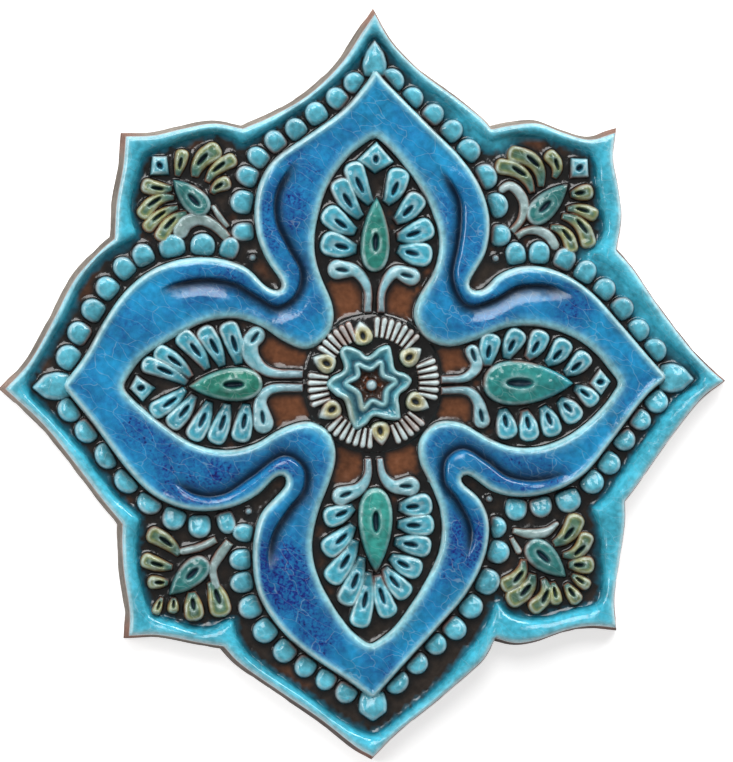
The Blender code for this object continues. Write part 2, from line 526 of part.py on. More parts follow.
def star(reach, hollow):
    """Offsets of a star's corners from its middle, a point and a hollow in turn."""
    corners = []
    for a, b in zip(STAR_ANGLES, STAR_ANGLES[1:] + (STAR_ANGLES[0] + 360,)):
        for degrees, radius in ((a, reach), ((a + b) / 2, hollow)):
            corners.append(Vector((math.cos(math.radians(degrees)),
                                   math.sin(math.radians(degrees)))) * radius)
    return corners


def add_button(relief, middle):
    ring = [Vector((math.cos(math.tau * k / 6), math.sin(math.tau * k / 6))) for k in range(6)]
    relief.loop([middle + r * STAR_BUTTON_RADIUS for r in ring], 14.0)
    relief.loop([middle + r * STAR_BUTTON_RADIUS * 0.6 for r in ring], 16.4)


def add_palmettes(relief):
    for tip, end, half_width in LARGE_DROPS:
        add_drop(relief, tip, end, half_width, DROP_HEIGHT)
    for tip, end, half_width in SMALL_DROPS:
        add_drop(relief, tip, end, half_width, PETAL_HEIGHT)
    for root, tip, half_width in LARGE_PETALS:
        add_petal(relief, root, tip, half_width)
    for root, tip, half_width, bow in SMALL_PETALS:
        add_petal(relief, root, tip, half_width, bow)
    for line, widths in CURLS + SMALL_STEMS:
        stations = 2 * (len(line) - 1)
        relief.mound(stroke(line, widths, 0.0, stations),
                     stroke(line, widths, MOTIF_WALL, stations), STEM_HEIGHT)
    for corners in KITES:
        add_polygon(relief, corners, PETAL_HEIGHT)
    for middle in BALLS:
        add_disc(relief, middle, BALL_RADIUS, BALL_HEIGHT, sides=6)


def tile_mesh():
    edge = closed_outline(EDGE_RUNS, CONTOUR_STEP)
    rim_foot = closed_outline(RIM_INNER_RUNS, CONTOUR_STEP)
    relief = Relief()
    add_rim(relief, edge, rim_foot)
    add_band(relief)
    add_beads(relief, rim_foot)
    add_spearheads(relief)
    add_palmettes(relief)
    add_rosette(relief)
    plan, _, faces, sources, _, _ = delaunay_2d_cdt(relief.points, relief.edges, [], 1, 1e-5)
    back = [p + n * BACK_FLARE for p, n in zip(edge, normals(edge))]
    crossed = [p for p, s in zip(plan, sources) if len(s) != 1]
    if crossed:
        raise ValueError(f"level lines meet at {[tuple(round(c, 1) for c in p) for p in crossed]}")
    return solid_mesh(plan, [relief.heights[s[0]] for s in sources], faces, edge, sources, back)


def solid_mesh(plan, heights, faces, edge, sources, back):
    """The relief, the side walls and the back as one closed mesh, in metres, over the origin."""
    shift = Vector([-(min(p[i] for p in back) + max(p[i] for p in back)) / 2 for i in (0, 1)])
    bm = bmesh.new()
    front = [bm.verts.new(Vector((*(p + shift), h)) * METRES_PER_MM) for p, h in zip(plan, heights)]
    for face in faces:
        bm.faces.new([front[k] for k in face])
    by_source = {s[0]: v for v, s in zip(front, sources)}
    upper = [by_source[k] for k in range(len(edge))]
    lower = [bm.verts.new(Vector((*(p + shift), 0.0)) * METRES_PER_MM) for p in back]
    for k in range(len(edge)):
        after = (k + 1) % len(edge)
        bm.faces.new([lower[k], lower[after], upper[after], upper[k]])
    bm.faces.new(lower[::-1])
    bmesh.ops.recalc_face_normals(bm, faces=bm.faces[:])
    mesh = bpy.data.meshes.new("tile")
    bm.to_mesh(mesh)
    bm.free()
    return mesh


def glaze():
    material = bpy.data.materials.new("glaze")
    material.use_nodes = True
    shader = material.node_tree.nodes["Principled BSDF"]
    shader.inputs["Base Color"].default_value = GLAZE_COLOUR
    shader.inputs["Roughness"].default_value = GLAZE_ROUGHNESS
    shader.inputs["Metallic"].default_value = 0.0
    return material


def main():
    for old in list(bpy.data.objects):
        bpy.data.objects.remove(old)
    mesh = tile_mesh()
    mesh.materials.append(glaze())
    tile = bpy.data.objects.new("tile", mesh)
    bpy.context.scene.collection.objects.link(tile)


main()
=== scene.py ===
"""The glazed relief tile as it looks: its modelled face, glaze and clay, on a pale floor in a studio.

Plan measures are in millimetres from the middle of the centre rosette, +X right and +Y to the top
point. Heights are above the back. The face is one closed surface: points are laid along the level
lines of every form, joined by one triangulation, and lifted by one height function.
"""

import math

import bpy
import numpy as np
from mathutils import Matrix, Vector
from mathutils.geometry import delaunay_2d_cdt
from mathutils.kdtree import KDTree


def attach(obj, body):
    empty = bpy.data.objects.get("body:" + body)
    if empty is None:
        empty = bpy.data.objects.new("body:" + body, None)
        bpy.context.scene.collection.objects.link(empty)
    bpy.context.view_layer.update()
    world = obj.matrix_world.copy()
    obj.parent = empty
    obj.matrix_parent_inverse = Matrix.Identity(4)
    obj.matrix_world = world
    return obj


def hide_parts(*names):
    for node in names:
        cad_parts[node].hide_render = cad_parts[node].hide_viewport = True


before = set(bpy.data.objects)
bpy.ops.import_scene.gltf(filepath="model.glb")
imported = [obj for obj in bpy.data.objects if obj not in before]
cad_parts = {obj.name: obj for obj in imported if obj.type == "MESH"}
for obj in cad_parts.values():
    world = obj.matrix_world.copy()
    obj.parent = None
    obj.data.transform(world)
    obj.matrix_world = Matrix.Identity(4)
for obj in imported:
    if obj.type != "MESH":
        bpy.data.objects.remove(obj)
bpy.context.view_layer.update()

METRES_PER_MM = 0.001

# Heights above the back, in mm.
EDGE_HEIGHT = 15.6
RIM_HEIGHT = 18.3
GROUND_HEIGHT = 13.0
BAND_HEIGHT = 18.0
LIP_HEIGHT = 19.6
CREASE_HEIGHT = 15.0

# Spacing of the surface's points, in mm.
FORM_STEP = 0.8
BAND_STEP = 1.2
RIM_STEP = 1.5
OPEN_STEP = 2.05
STAR_STEP = 0.6
BASE_STEP = 1.2

# Points closer than this, in mm, are joined by the triangulation of the front and of the back.
FRONT_CLOSENESS = 1e-4
BACK_CLOSENESS = 1e-5

# Front edge of the rim, clockwise from the top point. Each row runs from one corner to the next.
EDGE_RUNS = (
    ((0.4, 147.6), (7.2, 136.0), (18.8, 124.4), (33.2, 114.0), (42.8, 106.4)),
    ((47.2, 101.6), (56.4, 103.4), (66.0, 104.0), (76.0, 100.4), (87.0, 97.6)),
    ((97.2, 100.4), (96.2, 90.0), (98.2, 79.2), (99.6, 67.0)),
    ((97.6, 53.2), (104.4, 45.6), (115.2, 30.0), (127.2, 14.4), (135.2, 6.0)),
    ((141.2, 0.8), (131.6, -6.8), (118.8, -23.2), (106.4, -40.8)),
    ((101.2, -47.6), (101.2, -57.0), (99.4, -70.0), (97.0, -86.8)),
    ((97.8, -98.4), (88.0, -97.6), (78.0, -99.2), (66.0, -103.2), (57.2, -104.4)),
    ((49.2, -102.4), (44.8, -110.2), (39.8, -115.2), (25.8, -127.2), (9.8, -140.0)),
    ((0.0, -149.8), (-7.2, -145.6), (-21.2, -134.6), (-37.0, -123.8), (-53.0, -112.6)),
    ((-60.0, -105.4), (-69.0, -104.0), (-85.6, -100.8)),
    ((-97.8, -101.0), (-97.6, -91.0), (-99.8, -76.0), (-100.6, -64.0)),
    ((-100.4, -56.4), (-109.2, -45.6), (-120.0, -31.4), (-132.0, -16.6)),
    ((-147.2, -2.4), (-137.2, 8.8), (-128.0, 25.2), (-119.6, 41.2), (-110.0, 52.0)),
    ((-103.6, 57.6), (-102.8, 72.0), (-100.2, 86.4)),
    ((-99.2, 98.4), (-88.0, 98.8), (-76.0, 101.6), (-64.0, 103.6)),
    ((-52.4, 101.6), (-39.6, 107.2), (-25.6, 115.6), (-13.2, 127.6), (-4.4, 140.6)),
)

# Inner edge of the rim, clockwise from the top. Rows run from point to cusp and from cusp to corner.
RIM_INNER_RUNS = (
    ((0.4, 139.2), (8.4, 129.2), (20.4, 118.0), (32.4, 108.4), (42.0, 99.4)),
    ((48.0, 95.6), (55.2, 98.4), (66.4, 98.4), (78.4, 94.8)),
    ((88.4, 91.2), (89.2, 81.2), (90.4, 71.2), (92.4, 61.2)),
    ((85.2, 50.8), (94.4, 46.0), (105.6, 33.2), (115.2, 19.2), (126.4, 8.0)),
    ((132.4, 2.0), (120.4, -7.6), (110.4, -20.8), (100.4, -34.8), (92.4, -46.8)),
    ((86.4, -50.0), (90.4, -56.8), (91.2, -68.8), (92.0, -80.8)),
    ((90.4, -89.2), (80.4, -90.8), (68.4, -94.0), (56.4, -92.8)),
    ((49.6, -86.0), (44.4, -98.8), (35.2, -110.8), (24.4, -122.8), (8.4, -135.6)),
    ((0.8, -141.6), (-11.6, -135.6), (-27.6, -123.6), (-45.6, -111.6), (-53.6, -102.8)),
    ((-55.2, -93.2), (-67.6, -98.0), (-77.6, -95.6)),
    ((-89.2, -92.0), (-91.6, -82.8), (-94.0, -70.8), (-93.6, -58.8)),
    ((-91.6, -54.0), (-103.6, -43.6), (-114.4, -28.8), (-124.8, -16.8)),
    ((-139.2, -1.8), (-131.6, 11.2), (-123.2, 25.2), (-116.4, 39.2), (-107.6, 50.0)),
    ((-93.2, 58.4), (-96.8, 68.4), (-94.8, 79.2)),
    ((-91.6, 90.8), (-79.6, 94.8), (-67.6, 98.8), (-58.4, 98.6)),
    ((-52.8, 93.6), (-37.6, 103.2), (-21.6, 114.4), (-7.6, 127.2)),
)

# Outer edge of the four-lobed band, clockwise from its top point. Rows start at a point or a notch.
BAND_OUTER_RUNS = (
    ((0.4, 126.0), (7.2, 118.4), (24.0, 101.6), (34.8, 90.8), (42.8, 79.2), (46.8, 66.0),
     (45.6, 53.2), (40.4, 43.6), (38.2, 39.4)),
    ((39.8, 36.8), (44.4, 37.8), (51.2, 44.0), (62.4, 47.2), (75.6, 44.4), (88.0, 36.4),
     (98.8, 24.8), (109.2, 12.8)),
    ((118.8, 2.0), (109.6, -6.0), (95.2, -24.8), (85.6, -36.4), (74.4, -43.2), (60.8, -46.0),
     (48.8, -44.0), (40.0, -38.0)),
    ((36.4, -36.6), (35.4, -39.6), (43.2, -46.8), (46.8, -56.8), (44.8, -70.8), (37.6, -84.8),
     (26.4, -98.0), (8.8, -117.2)),
    ((0.0, -127.2), (-9.6, -120.0), (-28.4, -107.2), (-39.6, -96.0), (-46.8, -82.8),
     (-48.4, -66.8), (-45.6, -53.2), (-38.4, -44.8), (-34.8, -40.4)),
    ((-36.0, -36.6), (-39.6, -38.2), (-46.8, -45.2), (-58.4, -50.4), (-72.8, -51.2),
     (-86.8, -46.0), (-98.0, -35.6), (-112.4, -16.4)),
    ((-124.8, -1.2), (-116.0, 10.4), (-108.4, 24.0), (-100.0, 36.0), (-89.6, 44.8),
     (-76.8, 49.6), (-63.2, 50.0), (-51.2, 46.4), (-43.2, 38.8)),
    ((-38.2, 36.6), (-36.8, 40.0), (-43.6, 50.4), (-47.6, 62.8), (-46.8, 77.2), (-40.4, 89.2),
     (-27.6, 98.4), (-13.2, 108.8), (-3.2, 120.0)),
)

# Inner edge of the band, clockwise from the top point of the top lobe. Rows start at a lobe's point.
BAND_INNER_RUNS = (
    ((0.8, 98.8), (9.6, 90.0), (17.2, 80.0), (23.2, 69.2), (26.4, 57.2), (24.4, 45.2),
     (18.8, 36.0), (16.0, 27.2), (20.4, 18.0), (30.4, 14.4), (41.6, 17.2), (53.6, 22.0),
     (66.4, 22.4), (78.4, 19.2), (88.4, 12.8)),
    ((99.2, 0.0), (91.6, -10.4), (80.4, -20.0), (68.4, -25.2), (56.4, -25.6), (45.6, -21.6),
     (35.6, -16.0), (25.2, -15.6), (18.4, -22.8), (18.8, -32.4), (23.6, -42.0), (27.2, -53.2),
     (26.8, -66.0), (22.0, -77.6), (15.2, -88.8), (7.6, -98.8)),
    ((-1.2, -105.2), (-9.2, -98.4), (-16.4, -88.4), (-22.4, -76.4), (-24.4, -64.8),
     (-22.0, -52.0), (-17.6, -40.4), (-14.8, -29.2), (-17.6, -19.6), (-26.4, -15.2),
     (-37.2, -18.4), (-47.6, -24.4), (-59.6, -26.8), (-72.4, -24.0), (-84.0, -16.4),
     (-93.6, -8.8)),
    ((-100.4, -1.8), (-95.6, 6.0), (-90.4, 11.4), (-79.6, 18.0), (-67.6, 24.0), (-55.6, 25.6),
     (-44.8, 22.4), (-36.4, 16.8), (-26.4, 13.2), (-17.6, 19.6), (-16.0, 30.0), (-21.6, 44.4),
     (-23.6, 55.6), (-21.6, 68.8), (-16.8, 81.2), (-9.2, 91.2)),
)

# The groove behind each notch of the band, clockwise. The band is a rounded lip outside it.
GROOVES = (
    ((26.4, 87.2), (34.4, 75.2), (35.6, 65.2), (34.4, 54.4), (32.4, 43.2), (35.6, 34.0),
     (40.4, 31.2), (49.2, 34.0), (58.4, 38.8), (70.4, 39.2), (81.2, 34.8)),
    ((79.2, -36.4), (66.4, -39.6), (54.4, -38.0), (45.2, -31.6), (36.4, -26.8), (29.6, -30.8),
     (29.2, -39.6), (34.4, -46.8), (39.2, -55.6), (40.0, -62.8), (37.6, -71.6)),
    ((-41.6, -76.8), (-42.4, -68.8), (-40.0, -59.6), (-34.4, -50.8), (-28.4, -42.8),
     (-28.4, -34.0), (-36.4, -29.6), (-48.8, -38.0), (-59.6, -44.8), (-70.4, -45.2), (-82.4, -38.8)),
    ((-87.6, 35.6), (-79.6, 39.6), (-67.6, 41.6), (-55.6, 40.0), (-46.4, 34.8), (-38.4, 30.8),
     (-31.6, 35.2), (-29.6, 44.4), (-34.8, 54.4), (-39.6, 65.2), (-38.8, 77.2), (-30.8, 90.4)),
)

# Middles of the beads, lobe by lobe, clockwise from the top.
BEADS = (
    (7.6, 121.2), (15.6, 114.0), (24.0, 107.6), (31.6, 101.2), (38.4, 93.2), (45.2, 82.8),
    (49.6, 71.2), (50.8, 59.2), (57.2, 52.0), (66.8, 52.4), (77.2, 50.0), (85.6, 44.8),
    (93.2, 37.6), (100.4, 30.0), (106.8, 21.2), (113.6, 13.2), (114.4, -7.6), (107.6, -14.8),
    (101.2, -22.8), (95.2, -32.4), (88.4, -40.0), (78.8, -47.6), (67.6, -49.6), (57.6, -50.8),
    (49.2, -58.0), (50.4, -68.0), (46.4, -80.0), (39.6, -90.0), (33.2, -98.8), (25.2, -104.8),
    (17.6, -112.4), (9.6, -120.0), (-10.8, -124.0), (-18.8, -118.8), (-27.2, -113.6),
    (-35.6, -107.6), (-43.6, -99.6), (-49.6, -90.0), (-52.8, -80.0), (-53.2, -70.8),
    (-52.0, -60.0), (-58.8, -56.0), (-69.6, -57.6), (-80.0, -54.4), (-89.6, -48.0),
    (-98.8, -39.2), (-106.8, -29.2), (-114.8, -19.2), (-121.6, -10.8), (-122.4, 10.4),
    (-118.0, 20.0), (-112.4, 29.2), (-106.8, 38.0), (-100.0, 46.0), (-92.4, 51.2),
    (-80.8, 54.8), (-68.4, 55.2), (-57.6, 54.0), (-52.4, 60.4), (-52.8, 72.4), (-50.8, 82.8),
    (-46.4, 90.4), (-39.6, 96.8), (-31.2, 101.6), (-23.2, 108.0), (-14.8, 114.0), (-7.6, 120.0),
)
BEAD_REACH = 4.8
BEAD_WIDTH_SHARE = 0.44
BEAD_GAP = 0.5

# Spearheads, lobe by lobe: reach, half width, and the share of it that is left at half the reach.
SPEARHEADS = ((12.0, 5.3, 0.72), (11.2, 6.4, 0.8), (9.0, 5.9, 0.98), (12.2, 6.0, 0.84))

# Palmettes. A drop is (point, round end, half width). A petal is (root, tip, half width, bow), with
# the bow of its middle line to the left of the way from root to tip. A curl or a stem is a line and
# its half widths.
LARGE_DROPS = (
    ((1.2, 74.4), (0.4, 44.2), 6.1), ((80.8, -0.2), (44.0, 0.0), 9.2),
    ((1.2, -76.4), (0.8, -41.8), 7.1), ((-74.2, -1.4), (-44.2, -0.2), 7.0),
)
SMALL_DROPS = (
    ((78.4, 80.0), (62.4, 64.4), 5.4), ((77.8, -78.2), (62.0, -64.0), 5.8),
    ((-82.0, -85.0), (-66.4, -70.4), 5.5), ((-80.4, 81.2), (-66.4, 67.6), 5.3),
)

# Petals: shares of the half width from root to tip, how round the tip is, and where the slot lies.
PETAL_WIDTHS = (0.4, 0.76, 1.0, 1.06)
HEAD_REACH = 0.85
SLOT_PLACE = 0.6
LARGE_PETALS = (
    ((-0.8, 71.6), (-9.4, 88.2), 4.3, 0.8), ((-4.8, 66.0), (-15.2, 81.4), 4.4, 0.8),
    ((-6.8, 60.4), (-20.2, 68.8), 4.6, 0.6), ((-6.4, 53.6), (-21.2, 56.6), 5.0, 0.4),
    ((4.8, 71.6), (11.6, 85.8), 4.5, -0.8), ((8.4, 64.4), (19.4, 75.2), 4.4, -0.6),
    ((9.2, 58.4), (24.2, 62.6), 4.6, -0.6), ((9.6, 53.8), (23.6, 50.4), 4.8, -0.4),
    ((46.0, 6.4), (47.4, 20.0), 4.2, 0.4), ((53.6, 9.4), (58.8, 21.6), 4.2, 0.4),
    ((61.6, 9.6), (68.6, 21.0), 4.1, -0.6), ((69.4, 7.6), (78.6, 17.0), 4.1, -0.8),
    ((76.8, 3.6), (87.0, 11.4), 4.0, -0.6), ((80.8, -2.0), (90.2, -8.2), 3.6, 0.6),
    ((74.6, -6.8), (82.8, -15.2), 4.4, 0.4), ((68.0, -9.4), (73.2, -21.4), 4.1, 0.4),
    ((60.8, -10.6), (63.4, -23.4), 4.1, 0.2), ((52.2, -10.2), (54.4, -22.6), 4.3, 0.0),
    ((10.0, -49.6), (23.8, -48.8), 4.7, -0.4), ((9.6, -56.6), (24.6, -57.0), 4.4, -0.4),
    ((8.4, -63.6), (23.4, -66.2), 4.4, 0.0), ((6.8, -69.6), (19.4, -76.0), 4.4, -0.4),
    ((4.4, -74.0), (14.0, -86.0), 4.2, -0.4), ((1.8, -76.8), (6.6, -94.2), 4.1, -0.6),
    ((-7.6, -49.6), (-19.8, -55.2), 4.2, 0.4), ((-7.8, -56.8), (-19.6, -68.4), 4.4, 0.6),
    ((-7.0, -62.8), (-17.4, -80.2), 4.4, 0.8), ((-4.4, -69.6), (-11.6, -89.2), 4.2, 0.6),
    ((-1.6, -75.6), (-5.8, -98.2), 4.3, 0.4), ((-74.4, -0.2), (-92.8, 8.4), 3.6, -0.8),
    ((-72.8, 2.0), (-87.4, 13.8), 3.5, -1.0), ((-66.4, 5.2), (-77.6, 20.4), 4.0, -0.8),
    ((-60.4, 6.4), (-68.6, 22.6), 3.9, -0.6), ((-53.8, 7.2), (-58.8, 24.6), 4.1, -0.4),
    ((-75.2, -2.4), (-89.0, -12.6), 3.7, 0.6), ((-71.6, -4.8), (-81.6, -18.0), 3.9, 0.6),
    ((-65.6, -7.4), (-72.6, -23.0), 4.1, 0.4), ((-58.4, -8.2), (-63.8, -24.4), 4.0, 0.4),
    ((-50.8, -8.2), (-53.6, -23.8), 4.1, 0.2),
)
SMALL_PETALS = (
    ((72.6, 82.0), (70.8, 93.4), 2.9, -2.0), ((67.4, 78.4), (54.8, 94.0), 3.5, -4.2),
    ((64.0, 76.0), (49.4, 88.6), 3.3, -3.2), ((79.0, 75.6), (88.6, 77.0), 3.3, 0.0),
    ((77.6, 69.8), (90.6, 67.2), 2.9, 0.9), ((75.6, 67.0), (88.4, 54.8), 3.3, 2.8),
    ((71.0, 62.6), (81.4, 52.6), 2.9, 2.4), ((79.8, -77.0), (87.4, -82.2), 2.6, 0.0),
    ((77.4, -80.6), (83.0, -88.6), 3.0, 0.0), ((72.4, -79.8), (74.0, -89.4), 2.7, 0.0),
    ((68.4, -78.4), (64.6, -92.4), 3.3, 2.8), ((64.4, -76.4), (54.8, -89.0), 4.0, 1.8),
    ((60.6, -70.6), (52.4, -83.4), 3.4, 2.2), ((78.4, -73.2), (89.2, -73.2), 3.6, 0.0),
    ((76.2, -69.2), (88.0, -61.2), 3.3, -2.4), ((72.4, -64.8), (83.6, -53.4), 3.9, -1.6),
    ((-84.6, -85.6), (-87.6, -92.8), 2.0, 0.0), ((-79.8, -85.6), (-80.4, -92.4), 2.4, 0.0),
    ((-72.8, -83.4), (-71.4, -95.4), 4.0, 0.0), ((-65.4, -79.2), (-60.0, -93.6), 4.4, 0.6),
    ((-81.8, -80.0), (-90.6, -79.6), 2.8, 0.0), ((-80.2, -73.8), (-93.2, -70.4), 3.2, 0.4),
    ((-77.4, -69.2), (-90.2, -59.0), 3.5, -1.0), ((-78.6, 82.4), (-76.2, 93.4), 2.8, 0.0),
    ((-71.6, 82.0), (-62.4, 95.2), 3.9, 1.8), ((-66.8, 80.0), (-55.4, 90.6), 3.1, 1.4),
    ((-64.8, 75.4), (-57.6, 81.4), 3.0, 0.8), ((-80.4, 77.8), (-93.2, 78.8), 3.2, 0.6),
    ((-79.6, 74.0), (-94.2, 66.8), 3.1, -2.2), ((-78.0, 70.2), (-92.0, 61.2), 2.7, -1.4),
    ((-74.4, 68.0), (-86.8, 57.2), 3.1, -1.6),
)
CURLS = (
    (((-2.2, 28.0), (-2.4, 38.0), (-7.0, 44.6), (-14.4, 45.4)), (1.7, 1.8, 2.5, 4.3)),
    (((3.0, 28.0), (3.6, 37.0), (8.4, 44.2), (15.2, 42.6)), (1.7, 1.8, 2.6, 4.0)),
    (((27.0, 1.2), (36.8, 2.0), (41.6, 6.6), (39.8, 12.6)), (1.7, 1.8, 2.5, 3.1)),
    (((27.0, -3.2), (37.6, -3.2), (42.2, -7.6), (43.8, -15.0)), (1.7, 1.8, 2.4, 3.6)),
    (((2.6, -30.0), (3.8, -36.8), (8.0, -41.4), (14.8, -41.4)), (1.4, 1.8, 2.8, 4.3)),
    (((-2.0, -30.0), (-2.2, -37.2), (-5.8, -42.6), (-12.8, -45.4)), (1.4, 1.8, 2.8, 4.1)),
    (((-28.0, 3.4), (-41.4, 4.2), (-48.4, 9.6), (-49.6, 15.4), (-47.0, 19.0)),
     (1.8, 2.0, 2.5, 3.7, 3.9)),
    (((-28.0, -2.0), (-40.4, -2.4), (-45.2, -7.2), (-44.2, -16.0)), (1.8, 2.0, 2.6, 4.5)),
)
STEMS = (
    (((55.4, 60.4), (59.6, 65.6), (60.6, 72.0), (58.2, 76.8), (54.6, 79.2), (51.8, 77.6)),
     (1.6, 1.8, 2.1, 2.3, 2.2, 1.9)),
    (((57.4, 58.4), (61.0, 60.8), (66.0, 61.2), (70.4, 59.0), (73.0, 55.2)),
     (1.6, 1.8, 2.1, 2.3, 2.2)),
    (((56.0, -59.2), (62.4, -60.6), (69.6, -60.0), (74.0, -56.6)), (1.3, 2.2, 2.3, 1.2)),
    (((55.6, -62.0), (58.6, -67.6)), (1.1, 1.6)),
    (((-57.4, -63.4), (-61.6, -69.2), (-64.4, -74.8), (-62.8, -81.6)), (2.0, 2.3, 2.0, 1.7)),
    (((-62.8, -62.6), (-69.6, -65.8), (-76.4, -67.4)), (1.6, 1.9, 1.7)),
    (((-58.0, 57.4), (-63.6, 62.8), (-69.6, 65.4), (-74.8, 64.0), (-77.4, 60.6)),
     (2.0, 2.2, 2.5, 3.2, 3.5)),
    (((-58.2, 62.0), (-61.6, 66.4), (-64.2, 70.2)), (1.2, 1.4, 1.2)),
)
KITES = (
    ((1.2, 97.0), (8.6, 88.4), (0.6, 83.4), (-7.0, 89.2)),
    ((91.2, 6.2), (96.0, 0.6), (91.8, -5.4), (86.6, -0.2)),
    ((-95.0, 3.6), (-86.8, -2.0), (-92.4, -7.8), (-98.0, -2.2)),
    ((-88.8, 90.8), (-82.6, 90.8), (-81.6, 82.8), (-89.6, 82.8)),
    ((79.2, 90.4), (86.4, 90.2), (86.8, 82.4), (78.8, 81.8)),
)
BALLS = ((49.2, 50.0), (46.8, -46.6), (-50.0, -51.4), (-48.4, 50.2))
BALL_RADIUS = 1.6

# Rosette: a six-pointed star with a smaller hollow star in it, six seeds, and rays between them.
STAR_OUTLINE = (
    (-13.8, 12.3), (-11.1, 15.0), (-5.8, 13.3), (-2.4, 10.8), (2.2, 14.2), (6.4, 15.1),
    (7.8, 10.6), (9.0, 5.4), (12.8, 4.0), (15.6, 1.2), (13.9, -2.3), (10.4, -5.4),
    (10.8, -10.8), (10.6, -14.8), (5.3, -14.8), (0.2, -13.7), (-2.7, -16.8), (-7.2, -18.9),
    (-9.8, -14.6), (-11.8, -7.4), (-15.2, -5.2), (-19.0, -1.0), (-17.0, 2.4), (-12.1, 5.7),
)
STAR_MIDDLE = (-0.8, -0.9)
INNER_STAR = (
    (-6.7, 7.4), (-1.5, 5.6), (2.7, 8.2), (3.8, 3.1), (8.8, 0.6), (5.3, -3.2),
    (4.2, -8.7), (-0.7, -7.3), (-4.4, -10.6), (-6.2, -4.2), (-11.1, -0.3), (-6.4, 2.7),
)
STAR_OCHRE_MIDDLE = (-9.0, -10.0)
BUTTON_RADIUS = 2.6
SEEDS = ((-4.4, 19.4), (14.8, 10.6), (17.4, -7.8), (2.8, -19.8), (-17.2, -11.0), (-19.4, 8.0))
SEED_HALF_LENGTH = 5.4
SEED_HALF_WIDTH = 4.2
RAY_COUNT = 54
RAY_START = 18.0
RAY_END = 26.8
RAY_HALF_WIDTH = 1.4
RAY_CLEARANCE_DEGREES = 9.5
BASE_RADIUS = 27.8

# Sections, in mm: how far each part rises or drops, how wide its slopes are and how far it reaches.
STAR_RISE = 5.2
STAR_SHOULDER = 1.4
STAR_LEDGE_DROP = 2.2
STAR_RIDGE_RISE = 2.0
STAR_PIT_DROP = 3.4
BUTTON_FOOT = 0.4
BUTTON_RISE = 3.6
BASE_RISE = 0.8
BASE_WALL = 0.3
BAND_OUTER_SHOULDER = 1.5
BAND_INNER_SHOULDER = 2.2
BAND_EDGE_RISE = 0.8
BAND_SWELL = 0.3
BAND_UNEVEN = 0.1
GROOVE_REACH = 13.0
GROOVE_WIDTH = 8.5
RIM_CREST = 1.6
RIM_SHOULDER = 2.0
RIM_WALL_WIDTH = 3.0
RIM_WALL_SHARE = 0.78
RIM_UNEVEN = 0.08
FORM_UNEVEN = 0.2
GROUND_UNEVEN = 0.12
FILLET_RISE = 0.5
FILLET_WIDTH = 0.5
FOOT_MARGIN = 0.02
WALL_REACH = 3.0
FAR_FROM_WALLS = 9.0
TOP_MARGIN = 0.02

# Where the rim's glaze ran down: the middle of that sector, and how thick and far the glaze lies.
RUN_DOWN_DEGREES = 42
RUN_LIFT = 1.2
RUN_REACH = 2.4

# Level lines that the triangles follow: depths inside an outline, or offsets from a line, in mm.
FILLET_LINE = -0.45
RIM_LEVELS = (0.35, 0.9, 1.7, 2.8, 4.2, 5.8)
RIM_FOOT_LEVELS = (0.0, -0.5, -1.2, -2.2)
RIM_LINE_GAP = 0.6
BAND_OUTER_LEVELS = (-0.5, 0.0, 0.3, 0.7, 1.2, 2.0, 3.2, 4.8)
BAND_INNER_LEVELS = (0.5, 0.0, -0.3, -0.7, -1.2, -2.0, -3.4)
GROOVE_OFFSETS = (-2.2, -1.2, -0.6, -0.2, 0.2, 0.7, 1.5, 2.8)
STAR_LEVELS = (-0.5, 0.0, 0.3, 0.7, 1.2, 1.8, 2.6)
INNER_STAR_LEVELS = (-1.6, -1.0, -0.4, 0.4, 0.8, 1.2, 1.7)
BUTTON_SHARES = (0.45, 0.75, 0.92, 1.0)
BASE_OFFSETS = (-0.5, 0.0, 0.4)

# How often each outline is smoothed.
RIM_FOOT_PASSES = 5
BAND_OUTER_PASSES = 3
BAND_INNER_PASSES = 4

# Unevenness of each kind: wave length in mm, and random seed.
LUMPS = {
    "ground": (9.0, 5), "form": (4.0, 13), "band": (16.0, 3), "rim": (20.0, 7), "side": (17.0, 21),
    "back": (30.0, 8), "rust": (20.0, 43), "clay": (27.0, 41), "broad cobalt": (30.0, 11),
    "fine cobalt": (7.0, 31), "lip cobalt": (24.0, 4), "dark ground": (7.0, 19),
    "red ground": (26.0, 29), "broad drips": (5.0, 17), "fine drips": (1.9, 23),
}


def srgb(red, green, blue):
    """A colour given by its screen values, 0 to 255, as linear values with alpha."""
    return (*(((c / 255 + 0.055) / 1.055) ** 2.4 if c > 10 else c / 3294.6
              for c in (red, green, blue)), 1.0)


TURQUOISE = srgb(66, 178, 204)
DEEP_TEAL = srgb(20, 104, 126)
PALE_TURQUOISE = srgb(146, 208, 218)
BEAD_BLUE = srgb(88, 176, 196)
PETAL_BLUE = srgb(94, 178, 192)
PETAL_CORE = srgb(52, 150, 174)
AZURE = srgb(28, 138, 188)
COBALT = srgb(16, 44, 128)
NAVY = srgb(14, 22, 84)
# Near-black of the grooves: partly pooled glaze, partly painted shade.
GROOVE_NAVY = srgb(8, 14, 28)
DARK_TEAL = srgb(30, 104, 116)
DROP_TEAL = srgb(44, 112, 110)
OLIVE = srgb(140, 138, 62)
CORNER_TEAL = srgb(50, 104, 96)
ASH = srgb(126, 160, 170)
CURL_BLUE = srgb(98, 170, 184)
CORNER_ASH = srgb(124, 148, 146)
STAR_TEAL = srgb(36, 128, 152)
STAR_PALE = srgb(112, 174, 180)
OCHRE = srgb(170, 140, 60)
SEED_OCHRE = srgb(176, 164, 104)
RAY_WHITE = srgb(190, 208, 208)
# White of the edges, partly worn thin glaze and partly painted highlight, and of the cracks.
EDGE_WHITE = srgb(206, 230, 234)
RUST = srgb(140, 72, 40)
RUST_EDGE = srgb(128, 92, 82)
